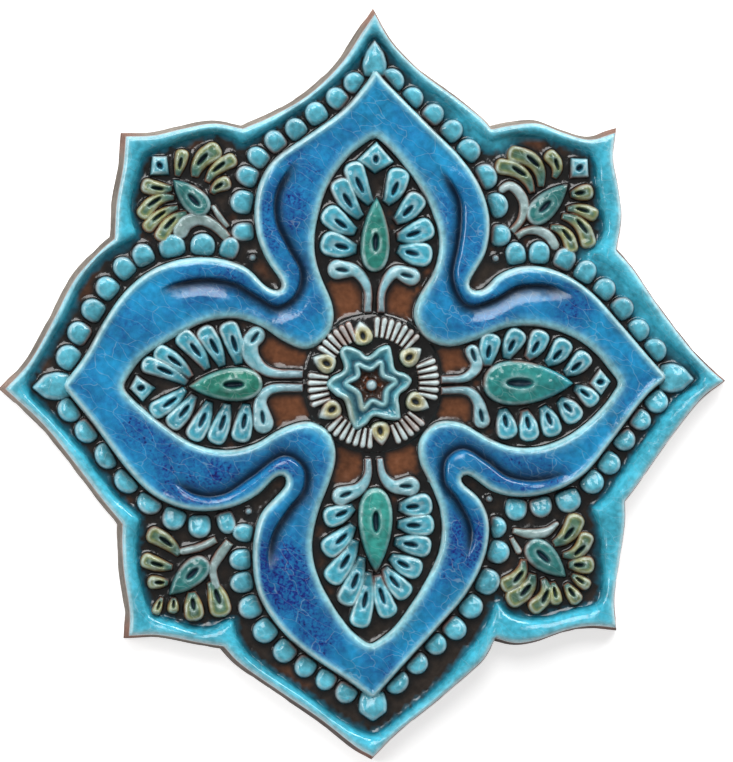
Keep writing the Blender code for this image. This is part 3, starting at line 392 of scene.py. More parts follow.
# Dark teal of a form's wall at its foot: partly pooled glaze, partly painted shade.
POOL_AND_SHADE_TEAL = srgb(12, 52, 66)
# Darkest ground, used as painted shade beside the walls.
DARK_GROUND = srgb(28, 28, 28)
BROWN_GROUND = srgb(52, 43, 37)
RED_GROUND = srgb(116, 70, 44)
PIT_BROWN = srgb(74, 48, 36)
CLAY = srgb(130, 122, 112)
DARK_CLAY = srgb(92, 82, 72)
# Brown of the painted shade on the lower right side.
SIDE_SHADE_BROWN = srgb(58, 42, 36)
# Dark blue of slots, feet and grooves: partly pooled glaze, partly painted shade.
SLOT_BLUE = srgb(8, 36, 60)
# Colours of a large drop at its point and at its round end.
LARGE_DROP_COLOURS = (
    (srgb(70, 158, 152), srgb(38, 118, 106)), (srgb(44, 156, 170), srgb(42, 126, 122)),
    (srgb(34, 124, 122), srgb(52, 146, 136)), (srgb(66, 156, 148), srgb(42, 122, 104)),
)

# Crackle: size of its cells in mm, how far they turn in radians, how they stretch and waver.
CRACKLE_CELL = 4.6
CRACKLE_TURN = 1.0
CRACKLE_STRETCH = 3.0
CRACK_WIDTH = 0.02
CRACK_STRENGTH = 0.17
WAVER_SCALE = 0.12
WAVER_REACH = 5.0

# Surface of the glaze and the clay.
# How far slots and feet are darkened towards SLOT_BLUE: pooled glaze and painted shade.
SLOT_STRENGTH = 0.95
# Share of the white edge, worn glaze and painted highlight, that is left at a form's root.
ROOT_WEAR_AND_SHEEN = 0.15
CLAY_ROUGHNESS = 0.82
GLAZE_IOR = 1.5
BUMP_STRENGTH = 0.5
BUMP_DISTANCE = 0.0006


def profile(height, shoulder, swell, swell_width, levels, slot_depth=0.0, ring=0.0, lean=0.0):
    """How a form rises: its height above the ground, the widths of its slopes, and its slot, in mm.

    Level lines lie at the given depths inside its foot. The lean is how much lower the root is than
    the head, as a share of the height.
    """
    return {"height": height, "shoulder": shoulder, "swell": swell, "swell_width": swell_width,
            "levels": levels, "slot_depth": slot_depth, "ring": ring, "lean": lean}


PETAL_PROFILE = profile(4.6, 1.5, -0.4, 2.6, (0.3, 0.7, 1.2, 1.9, 2.8), 2.8, 0.4, 0.35)
LARGE_DROP_PROFILE = profile(4.6, 1.4, 0.7, 6.0, (0.3, 0.7, 1.3, 2.1, 3.2, 4.6, 6.4), 3.0, 0.4)
SMALL_DROP_PROFILE = profile(4.2, 1.5, 0.3, 4.0, (0.3, 0.7, 1.3, 2.1, 3.2), 2.2, 0.3)
BEAD_PROFILE = profile(3.6, 1.5, 1.4, 4.2, (0.3, 0.7, 1.3, 2.1, 3.1), lean=0.35)
STEM_PROFILE = profile(3.6, 1.7, 0.0, 2.0, (0.3, 0.7, 1.3), 2.0, 0.3)
RAY_PROFILE = profile(3.9, 1.0, 0.0, 1.0, (0.3, 0.7))
SEED_PROFILE = profile(4.4, 1.4, -0.4, 2.4, (0.3, 0.7, 1.3, 2.0), 2.6, 0.2)
BALL_PROFILE = profile(2.2, 1.6, 0.0, 1.0, (0.4, 0.9))


def form_glaze(root, body, core=None, thin_glaze_and_sheen=0.8, crest=1.0, wall=POOL_AND_SHADE_TEAL):
    """Colours at the root, on top, in the middle and on the wall, and the white edge.

    A dark teal root and a dark teal wall are partly pooled glaze and partly painted shade; a rust
    wall is the clay's own colour. The white edge is partly worn thin glaze and partly painted
    highlight. The edge is given by how white it is and how far inside the foot it runs, in mm.
    """
    return {"root": root, "body": body, "core": core or body, "thin_glaze_and_sheen": thin_glaze_and_sheen, "crest": crest,
            "wall": wall}


PETAL_GLAZE = form_glaze(DARK_TEAL, PETAL_BLUE, PETAL_CORE, thin_glaze_and_sheen=0.9)
CORNER_PETAL_GLAZE = form_glaze(CORNER_TEAL, OLIVE, CORNER_TEAL, thin_glaze_and_sheen=0.55, wall=RUST)
SMALL_DROP_GLAZE = form_glaze(DROP_TEAL, DROP_TEAL, thin_glaze_and_sheen=0.7)
BEAD_GLAZE = form_glaze(DARK_TEAL, BEAD_BLUE, thin_glaze_and_sheen=0.9, crest=0.9)
STEM_GLAZE = form_glaze(ASH, CURL_BLUE, thin_glaze_and_sheen=0.85, wall=RUST)
RAY_GLAZE = form_glaze(RAY_WHITE, RAY_WHITE, thin_glaze_and_sheen=0.4, crest=0.8, wall=RUST)
SEED_GLAZE = form_glaze(RAY_WHITE, SEED_OCHRE, thin_glaze_and_sheen=0.8)
CORNER_STEM_GLAZE = form_glaze(CORNER_ASH, CORNER_ASH, thin_glaze_and_sheen=0.7, wall=RUST)
BALL_GLAZE = form_glaze(ASH, ASH, thin_glaze_and_sheen=0.2, wall=RUST)

# Where the blue of the band is heaviest: middle, radius and strength.
COBALT_PATCHES = (
    (-44.0, 58.0, 12.0, 0.9), (-56.0, 44.0, 12.0, 0.7), (42.0, 56.0, 12.0, 0.6),
    (-38.0, 68.0, 20.0, 0.95), (-24.0, 90.0, 18.0, 0.6), (30.0, 66.0, 16.0, 0.3),
    (-74.0, 34.0, 22.0, 0.3), (-106.0, 4.0, 24.0, 0.4), (-72.0, -34.0, 30.0, 0.85),
    (-96.0, -22.0, 16.0, 0.5), (-39.0, -78.0, 28.0, 1.15), (-26.0, -98.0, 24.0, 0.75),
    (6.0, -112.0, 20.0, 0.4), (32.0, -66.0, 26.0, 0.9), (80.0, 33.0, 16.0, 0.75),
    (100.0, 16.0, 16.0, 0.5), (67.0, -43.0, 22.0, 0.85), (-36.0, -32.0, 12.0, 0.7),
    (-36.0, 30.0, 12.0, 0.7), (38.0, 28.0, 12.0, 0.4), (104.0, -6.0, 14.0, 0.25),
)

# The side, from the front edge down: heights above the back, and how far it is set in, in mm.
SIDE_PROFILE = ((14.8, 0.0), (13.4, 0.05), (11.0, 0.1), (8.5, 0.1), (6.0, 0.1), (3.6, 0.1),
                (1.8, 0.15), (0.7, 0.35), (0.15, 0.75), (0.0, 1.3))
BACK_FLARE = 2.2  # how far the back is set out from the front edge
SIDE_DRIFT = 3.0  # how far the side's unevenness moves in plan for each mm down
SIDE_UNEVEN = 0.35
SIDE_UNEVEN_TOP = 14.0
BACK_STEP = 6.0
BACK_HOLLOW = 0.35
BACK_UNEVEN = 0.3
BACK_LOWEST = 0.05
# Direction from the middle, in degrees, of the side that gets painted shade.
SHADED_SIDE_DEGREES = -50

# The flat map of the surface: shares of its width.
FRONT_SHARE = 0.76
BACK_SHARE = 0.21
MAP_MARGIN = 0.005
SIDE_STRIPS = 4
STRIP_SHARE = 0.9

# Studio. The camera looks at this point of the rim's plane, from a little to the upper left.
VIEW_MIDDLE = (-3.0, 0.8)
VIEW_WIDTH = 293.2
CAMERA_DISTANCE = 2.4
CAMERA_LEAN = (-4.2, 0.8)
SENSOR_WIDTH = 36.0
WORLD_STRENGTH = 0.26
FLOOR_HALF_WIDTH = 3.0
FLOOR_GLOW = 0.6
FLOOR_ROUGHNESS = 0.7
FLOOR_COLOUR = (0.9, 0.9, 0.9, 1.0)
WHITE = (1.0, 1.0, 1.0, 1.0)
SOFTBOXES = (  # name, place in metres, width, height, watts
    ("top_softbox", (-0.2, 1.2, 1.8), 0.9, 1.2, 24.0),
    ("key_strip", (0.9, 1.5, 0.6), 1.2, 0.5, 24.0),
    ("side_softbox", (-1.5, 0.3, 0.8), 0.8, 0.4, 11.0),
)


# Places and directions in plan

def unit(way):
    return way / np.linalg.norm(way)


def left_of(way):
    return np.array([-way[1], way[0]])


def heading(turn):
    """The direction at an angle in radians, counterclockwise from +X."""
    return np.array([math.cos(turn), math.sin(turn)])


def far_from(points, place):
    """How far each point lies from a place."""
    return np.linalg.norm(points - np.asarray(place), axis=1)


def towards(points, degrees):
    """How squarely each point lies in a direction from the middle: 1 straight ahead, -1 behind."""
    way = points / np.maximum(far_from(points, (0.0, 0.0)), 1.0)[:, None]
    return way @ heading(math.radians(degrees))


def in_reach(points, line, reach):
    """The numbers of the points that may lie within reach of a line."""
    low, high = line.min(0) - reach, line.max(0) + reach
    return np.flatnonzero(((points > low) & (points < high)).all(1))


def tree_of(points):
    """A search tree for the nearest of the points."""
    tree = KDTree(len(points))
    for k, (x, y) in enumerate(points):
        tree.insert((x, y, 0), k)
    tree.balance()
    return tree


# Lines in plan

def smooth_line(points, step):
    """Points about one step apart on the smooth curve through the given points, both ends kept."""
    p = np.asarray(points, float)
    p = np.vstack([2 * p[0] - p[1], p, 2 * p[-1] - p[-2]])
    t = np.linspace(0, 1, 16, endpoint=False)[:, None]
    parts = []
    for a, b, c, d in zip(p, p[1:], p[2:], p[3:]):
        parts.append(0.5 * (2 * b + (c - a) * t + (2 * a - 5 * b + 4 * c - d) * t ** 2
                            + (3 * b - a - 3 * c + d) * t ** 3))
    return respaced(np.vstack(parts + [p[-2:-1]]), step)


def respaced(line, step):
    """The same line with its points spread evenly, about one step apart."""
    run = np.concatenate([[0.0], np.cumsum(np.linalg.norm(np.diff(line, axis=0), axis=1))])
    count = max(1, round(run[-1] / step))
    places = np.linspace(0, run[-1], count + 1)
    return np.column_stack([np.interp(places, run, line[:, k]) for k in (0, 1)])


def closed_outline(runs, step):
    """One counterclockwise loop through all the runs. Each run ends where the next one starts."""
    parts = [smooth_line([*run, following[0]], step)[:-1]
             for run, following in zip(runs, runs[1:] + runs[:1])]
    return counterclockwise(np.vstack(parts))


def counterclockwise(loop):
    after = np.roll(loop, -1, 0)
    area = (loop[:, 0] * after[:, 1] - loop[:, 1] * after[:, 0]).sum()
    return loop if area > 0 else loop[::-1]


def softened(loop, passes):
    """The loop with its corners worn round."""
    for _ in range(passes):
        loop = (np.roll(loop, 1, 0) + 2 * loop + np.roll(loop, -1, 0)) / 4
    return loop


def even_loop(loop, step):
    """A loop with its points spread evenly."""
    return respaced(np.vstack([loop, loop[:1]]), step)[:-1]


def outward(loop):
    """At each point of a counterclockwise loop, the way out, longer where the loop turns."""
    ahead = np.roll(loop, -1, 0) - loop
    ahead /= np.linalg.norm(ahead, axis=1)[:, None]
    behind = np.roll(ahead, 1, 0)
    way = np.column_stack([ahead[:, 1] + behind[:, 1], -ahead[:, 0] - behind[:, 0]])
    way /= np.maximum(np.linalg.norm(way, axis=1), 1e-9)[:, None]
    half = np.column_stack([ahead[:, 1], -ahead[:, 0]])
    return way / np.maximum(0.35, (way * half).sum(1))[:, None]


def depth_inside(points, loop):
    """How far each point lies inside a counterclockwise loop, in mm. It is negative outside."""
    tree = tree_of(loop)
    nearest = np.array([tree.find((x, y, 0))[1] for x, y in points], int).reshape(-1)
    best = np.full(len(points), np.inf)
    sign = np.ones(len(points))
    way = outward(loop)
    for shift in (-1, 0):
        a = loop[(nearest + shift) % len(loop)]
        along = loop[(nearest + shift + 1) % len(loop)] - a
        t = ((points - a) * along).sum(1) / np.maximum((along ** 2).sum(1), 1e-12)
        corner = (t <= 0) | (t >= 1)
        gap = points - a - along * np.clip(t, 0, 1)[:, None]
        distance = np.linalg.norm(gap, axis=1)
        right = np.column_stack([along[:, 1], -along[:, 0]])
        normal = np.where(corner[:, None], way[nearest], right)
        closer = distance < best
        best = np.where(closer, distance, best)
        sign = np.where(closer, np.where((gap * normal).sum(1) > 0, -1, 1), sign)
    return best * sign


def drawn_in(loop, distance, step):
    """The loop moved inwards, or outwards by a negative distance, as pieces without crossed parts."""
    moved = even_loop(loop, step) - outward(even_loop(loop, step)) * distance
    good = np.abs(depth_inside(moved, loop)) > abs(distance) * 0.97
    if good.all():
        return [np.vstack([moved, moved[:1]])]
    start = int(np.argmin(good))
    return kept_runs(np.roll(moved, -start, 0), np.roll(good, -start))


def beside(points, line):
    """How far each point lies to the right of an open line, in mm, and where along it, from 0 to 1."""
    best = np.full(len(points), np.inf)
    side = np.ones(len(points))
    place = np.zeros(len(points))
    count = len(line) - 1
    for k in range(count):
        along = line[k + 1] - line[k]
        gap = points - line[k]
        t = np.clip(gap @ along / (along @ along), 0, 1)
        distance = np.linalg.norm(gap - t[:, None] * along, axis=1)
        closer = distance < best
        left = along[0] * gap[:, 1] > along[1] * gap[:, 0]
        best = np.where(closer, distance, best)
        side = np.where(closer, np.where(left, -1, 1), side)
        place = np.where(closer, (k + t) / count, place)
    return best * side, place


def shifted(line, distance):
    """The open line moved to its right by a distance, without its crossed parts."""
    way = np.gradient(line, axis=0)
    way /= np.linalg.norm(way, axis=1)[:, None]
    moved = line + np.column_stack([way[:, 1], -way[:, 0]]) * distance
    gap, _ = beside(moved, line)
    return moved[np.abs(gap) > abs(distance) * 0.95]


def level_lines(loop, depths, step):
    return [line for depth in depths for line in drawn_in(loop, depth, step)]


def kept_runs(line, kept):
    """The stretches of a line whose points are kept."""
    breaks = np.flatnonzero(np.diff(kept.astype(int))) + 1
    stretches = zip(np.split(line, breaks), np.split(kept, breaks))
    return [part for part, wanted in stretches if wanted[0] and len(part) > 1]


def circle(middle, radius, step):
    turns = np.linspace(0, math.tau, max(8, round(math.tau * radius / step)) + 1)
    return np.asarray(middle) + radius * np.column_stack([np.cos(turns), np.sin(turns)])


def stroke(line, widths, step, reach=1.0, power=2.0):
    """The outline of a brush stroke of the given half widths along a line.

    Its far end is round, or blunter with a higher power, and reaches out by a share of its half width.
    """
    middle = smooth_line(line, step)
    share = np.linspace(0, 1, len(middle))
    half = np.interp(share, np.linspace(0, 1, len(widths)), widths)[:, None]
    way = np.gradient(middle, axis=0)
    way /= np.linalg.norm(way, axis=1)[:, None]
    side = np.column_stack([-way[:, 1], way[:, 0]])
    turns = np.radians(np.linspace(78, -78, max(5, round(3 * widths[-1] / step))))[:, None]
    c, s = np.cos(turns), np.sin(turns)
    blunt = half[-1] / (np.abs(c) ** power + np.abs(s) ** power) ** (1 / power)
    cap = middle[-1] + blunt * (way[-1] * c * reach + side[-1] * s)
    loop = np.vstack([middle + side * half, cap, (middle - side * half)[::-1]])
    return even_loop(counterclockwise(loop), step)


# Forms of the relief

def smooth_share(x, start, end):
    t = np.clip((x - start) / (end - start), 0, 1)
    return t * t * (3 - 2 * t)


def falling(x, start, end):
    return 1 - smooth_share(x, start, end)


def bell(x, middle, width):
    return np.exp(-((x - middle) / width) ** 2)


def dome(x):
    x = np.clip(x, 0, 1)
    return np.sqrt(1 - (1 - x) ** 2)


def mixed(a, b, share):
    """Colours between a and b, one row for each share."""
    share = np.asarray(share)[:, None]
    return np.asarray(a)[..., :3] * (1 - share) + np.asarray(b)[..., :3] * share


class Slot:
    """An almond-shaped hollow: its middle, its way, and its half length and half width."""

    def __init__(self, middle, way, half_length, half_width):
        self.middle = np.asarray(middle, float)
        self.way = unit(np.asarray(way, float))
        self.side = left_of(self.way)
        self.half_length = half_length
        self.half_width = half_width

    def distance(self, points):
        """About how far each point lies outside the hollow's edge, in mm. It is negative inside."""
        u = (points - self.middle) @ self.way / self.half_length
        v = (points - self.middle) @ self.side / self.half_width
        reach = np.maximum(np.hypot(u, v), 1e-6)
        slope = np.hypot(u / self.half_length, v / self.half_width) / reach
        return (reach - 1) / np.maximum(slope, 1 / self.half_length)

    def lines(self):
        half = self.way * self.half_length * 0.5
        found = [respaced(np.array([self.middle - half, self.middle + half]), FORM_STEP)]
        for offset in (-0.5 * self.half_width, 0.0, 0.6):
            turns = np.linspace(0, math.tau, 25)[:, None]
            ring = (np.cos(turns) * self.way * (self.half_length + offset)
                    + np.sin(turns) * self.side * (self.half_width + offset))
            found.append(respaced(self.middle + ring, FORM_STEP))
        return found


class Form:
    """One raised form: its foot line in plan, how it rises from root to head, and maybe a slot."""

    def __init__(self, foot, profile, glaze, root, head, slot=None):
        self.foot = foot
        self.profile = profile
        self.glaze = glaze
        self.root = np.asarray(root, float)
        self.head = np.asarray(head, float)
        self.slot = slot

    def measures(self, points):
        """Depth inside the foot, distance from the slot, and place from the root, 0, to the head, 1."""
        depth = depth_inside(points, self.foot)
        slot = self.slot.distance(points) if self.slot else np.full(len(points), 99.0)
        way = self.head - self.root
        place = smooth_share((points - self.root) @ way / (way @ way), 0, 1)
        return depth, slot, place

    def lift(self, depth, slot, place):
        """Height above the ground."""
        p = self.profile
        z = p["height"] * dome(depth / p["shoulder"])
        z += p["swell"] * np.sin(np.clip(depth / p["swell_width"], 0, 1) * math.pi / 2)
        z *= 1 - p["lean"] * (1 - place)
        z += p["ring"] * bell(slot, 0.7, 0.6)
        if self.slot:
            z -= p["slot_depth"] * falling(slot, -0.8 * self.slot.half_width, 0.5)
        return z

    def colours(self, depth, slot, place):
        """Tint, white edge and dark hollow.

        The white edge is partly worn thin glaze and partly painted highlight; the dark hollow and foot
        are partly pooled glaze and partly painted shade.
        """
        g = self.glaze
        # Darker root and wall: where dark teal, partly pooled glaze and partly painted shade.
        tint = mixed(g["root"], g["body"], smooth_share(place, 0.0, 0.5))
        tint = mixed(tint, g["core"], 0.8 * smooth_share(depth, 1.2, 2.6))
        tint = mixed(tint, g["wall"], 0.8 * falling(depth, 0.1, 0.8))
        # White edge along the crest and round the slot: partly worn thin glaze, partly painted
        # highlight.
        wear_and_sheen = np.maximum(bell(depth, g["crest"], 0.5), 0.6 * bell(slot, 0.6, 0.4))
        thin_glaze_and_sheen = g["thin_glaze_and_sheen"] * wear_and_sheen * (ROOT_WEAR_AND_SHEEN + (1 - ROOT_WEAR_AND_SHEEN) * place)
        # Dark foot and slot: partly pooled glaze, partly painted shade.
        deep = np.maximum(0.75 * falling(depth, 0.0, 0.3), falling(slot, -0.5, 0.3))
        return tint, thin_glaze_and_sheen, deep

    def lines(self):
        """Level lines, and lines round the slot, as open lines of points."""
        found = [np.vstack([self.foot, self.foot[:1]])]
        found += level_lines(self.foot, (FILLET_LINE, *self.profile["levels"]), FORM_STEP)
        return found + (self.slot.lines() if self.slot else [])


def petal(root, tip, half_width, bow, glaze):
    a, b = np.asarray(root, float), np.asarray(tip, float)
    way = unit(b - a)
    side = left_of(way)
    end = b - way * half_width * HEAD_REACH
    t = np.linspace(0, 1, 5)[:, None]
    line = a + (end - a) * t + side * bow * 4 * t * (1 - t)
    foot = stroke(line, half_width * np.array(PETAL_WIDTHS), FORM_STEP, HEAD_REACH, 2.3)
    middle = a + (end - a) * SLOT_PLACE + side * bow * 4 * SLOT_PLACE * (1 - SLOT_PLACE)
    lie = end - a + side * bow * 4 * (1 - 2 * SLOT_PLACE)
    slot = Slot(middle, lie, min(3.2, 0.17 * np.linalg.norm(b - a) + 0.2), half_width * 0.2)
    return Form(foot, PETAL_PROFILE, glaze, a, end, slot)


def drop(tip, end, half_width, profile, glaze):
    """A drop: a pointed tip that swells into a round end, with a slot along its middle."""
    a, b = np.asarray(tip, float), np.asarray(end, float)
    t = (1 - np.cos(np.linspace(0, math.pi, 40))) / 2
    width = t ** 0.85 * (1 - t) ** 0.45
    width *= half_width / width.max()
    way = unit(b - a)
    side = left_of(way)
    middle = a + (b - a) * t[:, None]
    loop = np.vstack([middle + side * width[:, None], (middle - side * width[:, None])[::-1]])
    foot = even_loop(counterclockwise(loop), FORM_STEP)
    slot = Slot(a + (b - a) * 0.6, way, half_width * 0.6, half_width * 0.22)
    return Form(foot, profile, glaze, a, b, slot)


def curl(line, widths, glaze, slotted):
    foot = stroke(line, widths, FORM_STEP)
    a, b = np.asarray(line[-2], float), np.asarray(line[-1], float)
    slot = Slot(a * 0.25 + b * 0.75, b - a, 2.6, 0.8) if slotted else None
    return Form(foot, STEM_PROFILE, glaze, line[0], line[-1], slot)


def bead(middle, band_outline):
    """A round bead, cut off straight beside the band. Its neighbours set its width."""
    m = np.asarray(middle, float)
    spaces = np.sort(far_from(np.array(BEADS), m))
    half_width = BEAD_WIDTH_SHARE * min(spaces[1:3].mean(), spaces[1] * 1.1)
    gaps = far_from(band_outline, m)
    out = (m - band_outline[int(np.argmin(gaps))]) / gaps.min()
    side = left_of(out)
    turns = np.linspace(0, math.tau, 40, endpoint=False)
    c, s = np.cos(turns), np.sin(turns)
    power = np.where(c > 0, 2.0, 4.0)
    reach = 1 / (np.abs(c) ** power + np.abs(s) ** power) ** (1 / power)
    back = min(BEAD_REACH, gaps.min() - BEAD_GAP)
    along = reach * c * np.where(c > 0, BEAD_REACH, back)
    loop = m + along[:, None] * out + (half_width * reach * s)[:, None] * side
    foot = even_loop(counterclockwise(loop), FORM_STEP)
    return Form(foot, BEAD_PROFILE, BEAD_GLAZE, m - out * back, m + out * BEAD_REACH)


def spearhead(lobe):
    """The leaf between a point of the band and the rim, cut off under the band."""
    tip = np.asarray(BAND_OUTER_RUNS[2 * lobe][0], float)
    out = unit(np.asarray(EDGE_RUNS[4 * lobe][0], float) - tip)
    side = left_of(out)
    reach, half, blunt = SPEARHEADS[lobe]
    plan = ((reach, 0.0), (reach * 0.55, half * blunt), (reach * 0.12, half), (-3.6, half * 0.8),
            (-3.6, -half * 0.8), (reach * 0.12, -half), (reach * 0.55, -half * blunt))
    loop = counterclockwise(np.array([tip + out * u + side * v for u, v in plan]))
    foot = softened(even_loop(loop, FORM_STEP), 2)
    return Form(foot, BEAD_PROFILE, BEAD_GLAZE, tip - out * 4, tip + out * reach * 0.5)


def kite(corners):
    loop = even_loop(counterclockwise(np.asarray(corners, float)), FORM_STEP)
    middle = np.mean(corners, axis=0)
    out = unit(middle)
    slot = Slot(middle, out, 1.5, 1.1)
    return Form(loop, PETAL_PROFILE, PETAL_GLAZE, middle - out * 5, middle, slot)


def ball(middle):
    foot = circle(middle, BALL_RADIUS, 0.6)[:-1]
    return Form(foot, BALL_PROFILE, BALL_GLAZE, middle, middle + np.array([BALL_RADIUS, 0.0]))


def ray(degrees):
    way = heading(math.radians(degrees))
    widths = (RAY_HALF_WIDTH * 0.65, RAY_HALF_WIDTH)
    foot = stroke([way * RAY_START, way * (RAY_END - RAY_HALF_WIDTH)], widths, FORM_STEP)
    return Form(foot, RAY_PROFILE, RAY_GLAZE, way * RAY_START, way * RAY_END)


def seed(middle):
    m = np.asarray(middle, float)
    out = unit(m)
    far, near = m + out * SEED_HALF_LENGTH * 1.05, m - out * SEED_HALF_LENGTH * 0.85
    made = drop(far, near, SEED_HALF_WIDTH, SEED_PROFILE, SEED_GLAZE)
    made.slot = Slot(m - out * 0.6, out, 1.9, 1.35)
    return made


def rays_and_seeds():
    seed_angles = [math.degrees(math.atan2(y, x)) for x, y in SEEDS]
    found = [seed(s) for s in SEEDS]
    for k in range(RAY_COUNT):
        degrees = 360 * k / RAY_COUNT
        away = min(abs((degrees - s + 180) % 360 - 180) for s in seed_angles)
        if away > RAY_CLEARANCE_DEGREES:
            found.append(ray(degrees))
    return found


def closed_curve(points, step):
    """A counterclockwise loop on the smooth closed curve through the points."""
    around = [points[-2], points[-1], *points, points[0], points[1]]
    line = smooth_line(around, 0.25)
    starts = far_from(line, points[0])
    first = int(np.argmin(starts[:len(line) // 2]))
    last = len(line) // 2 + int(np.argmin(starts[len(line) // 2:]))
    return even_loop(counterclockwise(line[first:last]), step)


def palmette_forms():
    forms = [drop(*d, LARGE_DROP_PROFILE, form_glaze(*colours, thin_glaze_and_sheen=0.75))
             for d, colours in zip(LARGE_DROPS, LARGE_DROP_COLOURS)]
    forms += [drop(*d, SMALL_DROP_PROFILE, SMALL_DROP_GLAZE) for d in SMALL_DROPS]
    forms += [petal(*p, PETAL_GLAZE) for p in LARGE_PETALS]
    forms += [petal(*p, CORNER_PETAL_GLAZE) for p in SMALL_PETALS]
    forms += [curl(*c, STEM_GLAZE, slotted=True) for c in CURLS]
    forms += [curl(*s, CORNER_STEM_GLAZE, slotted=False) for s in STEMS]
    return forms + [kite(corners) for corners in KITES]


def all_forms(band_outline):
    forms = palmette_forms() + rays_and_seeds()
    forms += [bead(b, band_outline) for b in BEADS]
    forms += [spearhead(lobe) for lobe in range(4)]
    forms += [ball(b) for b in BALLS]
    return forms


# The surface

class Relief:
    """The height and the glaze of the face at any point of the plan."""

    def __init__(self):
        self.edge = closed_outline(EDGE_RUNS, RIM_STEP)
        self.rim_foot = softened(closed_outline(RIM_INNER_RUNS, RIM_STEP), RIM_FOOT_PASSES)
        self.band_outer = softened(closed_outline(BAND_OUTER_RUNS, BAND_STEP), BAND_OUTER_PASSES)
        self.band_inner = softened(closed_outline(BAND_INNER_RUNS, BAND_STEP), BAND_INNER_PASSES)
        self.forms = all_forms(self.band_outer)
        self.star = closed_curve(STAR_OUTLINE, STAR_STEP)
        self.inner_star = closed_curve(INNER_STAR, STAR_STEP)
        self.grooves = [smooth_line(line, BAND_STEP) for line in GROOVES]

    def lines(self):
        found = self.rim_lines() + self.band_lines() + self.rosette_lines()
        for form in self.forms:
            found += form.lines()
        return found

    def rim_lines(self):
        found = []
        for line in level_lines(self.edge, RIM_LEVELS, RIM_STEP):
            found += kept_runs(line, depth_inside(line, self.rim_foot) < -RIM_LINE_GAP)
        for line in level_lines(self.rim_foot, RIM_FOOT_LEVELS, RIM_STEP):
            found += kept_runs(line, depth_inside(line, self.edge) > RIM_LINE_GAP)
        return found

    def band_lines(self):
        found = level_lines(self.band_outer, BAND_OUTER_LEVELS, BAND_STEP)
        found += level_lines(self.band_inner, BAND_INNER_LEVELS, BAND_STEP)
        for line in self.grooves:
            found += [shifted(line, offset) for offset in GROOVE_OFFSETS]
        return found

    def rosette_lines(self):
        found = level_lines(self.star, STAR_LEVELS, FORM_STEP * 0.8)
        found += level_lines(self.inner_star, INNER_STAR_LEVELS, FORM_STEP * 0.8)
        found += [circle(STAR_MIDDLE, BUTTON_RADIUS * share, STAR_STEP) for share in BUTTON_SHARES]
        return found + [circle((0.0, 0.0), BASE_RADIUS + offset, BASE_STEP) for offset in BASE_OFFSETS]

    def measure(self, points):
        """Heights and glaze values at the points, as a dictionary of arrays."""
        count = len(points)
        self.points = points
        self.z = np.full(count, GROUND_HEIGHT) + GROUND_UNEVEN * lumps(points, "ground")
        self.wall = np.full(count, FAR_FROM_WALLS)
        self.tint = np.tile(np.array(DARK_GROUND[:3]), (count, 1))
        self.thin_glaze_and_sheen, self.deep, self.cobalt, self.glazed = (np.zeros(count) for _ in range(4))
        for form in self.forms:
            self.add_form(form)
        self.add_star()
        self.add_base()
        self.add_band()
        self.add_rim()
        self.add_ground()
        return {"z": self.z, "tint": self.tint, "thin_glaze_and_sheen": self.thin_glaze_and_sheen, "deep": self.deep,
                "cobalt": self.cobalt, "glazed": self.glazed}

    def put(self, index, height, tint, thin_glaze_and_sheen, deep, cobalt=0.0, over=False):
        """Takes the given height and glaze where it is higher than what is there already."""
        higher = (height > self.z[index]) | over
        self.z[index] = np.where(higher, height, self.z[index])
        self.tint[index] = np.where(higher[:, None], tint, self.tint[index])
        for field, value in ((self.thin_glaze_and_sheen, thin_glaze_and_sheen), (self.deep, deep), (self.cobalt, cobalt),
                             (self.glazed, 1.0)):
            field[index] = np.where(higher, value, field[index])

    def add_form(self, form):
        index = in_reach(self.points, form.foot, WALL_REACH)
        measures = form.measures(self.points[index])
        self.wall[index] = np.minimum(self.wall[index], np.abs(measures[0]))
        inside = measures[0] > FOOT_MARGIN
        index = index[inside]
        points = self.points[index]
        depth, slot, place = (m[inside] for m in measures)
        uneven = FORM_UNEVEN * lumps(points, "form") * smooth_share(depth, 0.3, 1.5)
        tint, thin_glaze_and_sheen, deep = form.colours(depth, slot, place)
        tint = mixed(tint, RUST, rusted(points, depth))
        height = GROUND_HEIGHT + form.lift(depth, slot, place) + uneven
        self.put(index, height, tint, thin_glaze_and_sheen, deep)

    def add_star(self):
        """The star with its raised edge, the ridge of the inner star and the pit in its middle."""
        index = in_reach(self.points, self.star, WALL_REACH)
        depth = depth_inside(self.points[index], self.star)
        self.wall[index] = np.minimum(self.wall[index], np.abs(depth))
        index, depth = index[depth > FOOT_MARGIN], depth[depth > FOOT_MARGIN]
        points = self.points[index]
        ridge = depth_inside(points, self.inner_star)
        ledge = smooth_share(depth, 1.5, 3.4)
        crest = falling(np.abs(ridge), 0.4, 1.6)
        pit = smooth_share(ridge, 0.7, 1.7)
        height = (GROUND_HEIGHT + STAR_RISE * dome(depth / STAR_SHOULDER) - STAR_LEDGE_DROP * ledge
                  + STAR_RIDGE_RISE * crest - STAR_PIT_DROP * pit)
        pale = np.clip(1 - ledge + crest, 0, 1)
        tint = mixed(mixed(STAR_TEAL, STAR_PALE, pale), PIT_BROWN, pit)
        ochre = falling(far_from(points, STAR_OCHRE_MIDDLE), 3.0, 8.0)
        tint = mixed(tint, OCHRE, 0.45 * ochre * pale)
        # Pale raised edge and ridge: partly worn thin glaze, partly painted highlight.
        thin_glaze_and_sheen = 0.7 * np.maximum(bell(depth, 1.0, 0.55), 0.5 * crest)
        # Darker at the foot and beside the inner ridge: partly pooled glaze, partly painted shade.
        deep = np.maximum(0.8 * falling(depth, 0.0, 0.35), 0.6 * bell(ridge, -1.7, 0.6))
        self.put(index, height, tint, thin_glaze_and_sheen, deep, over=True)
        self.add_button(index)

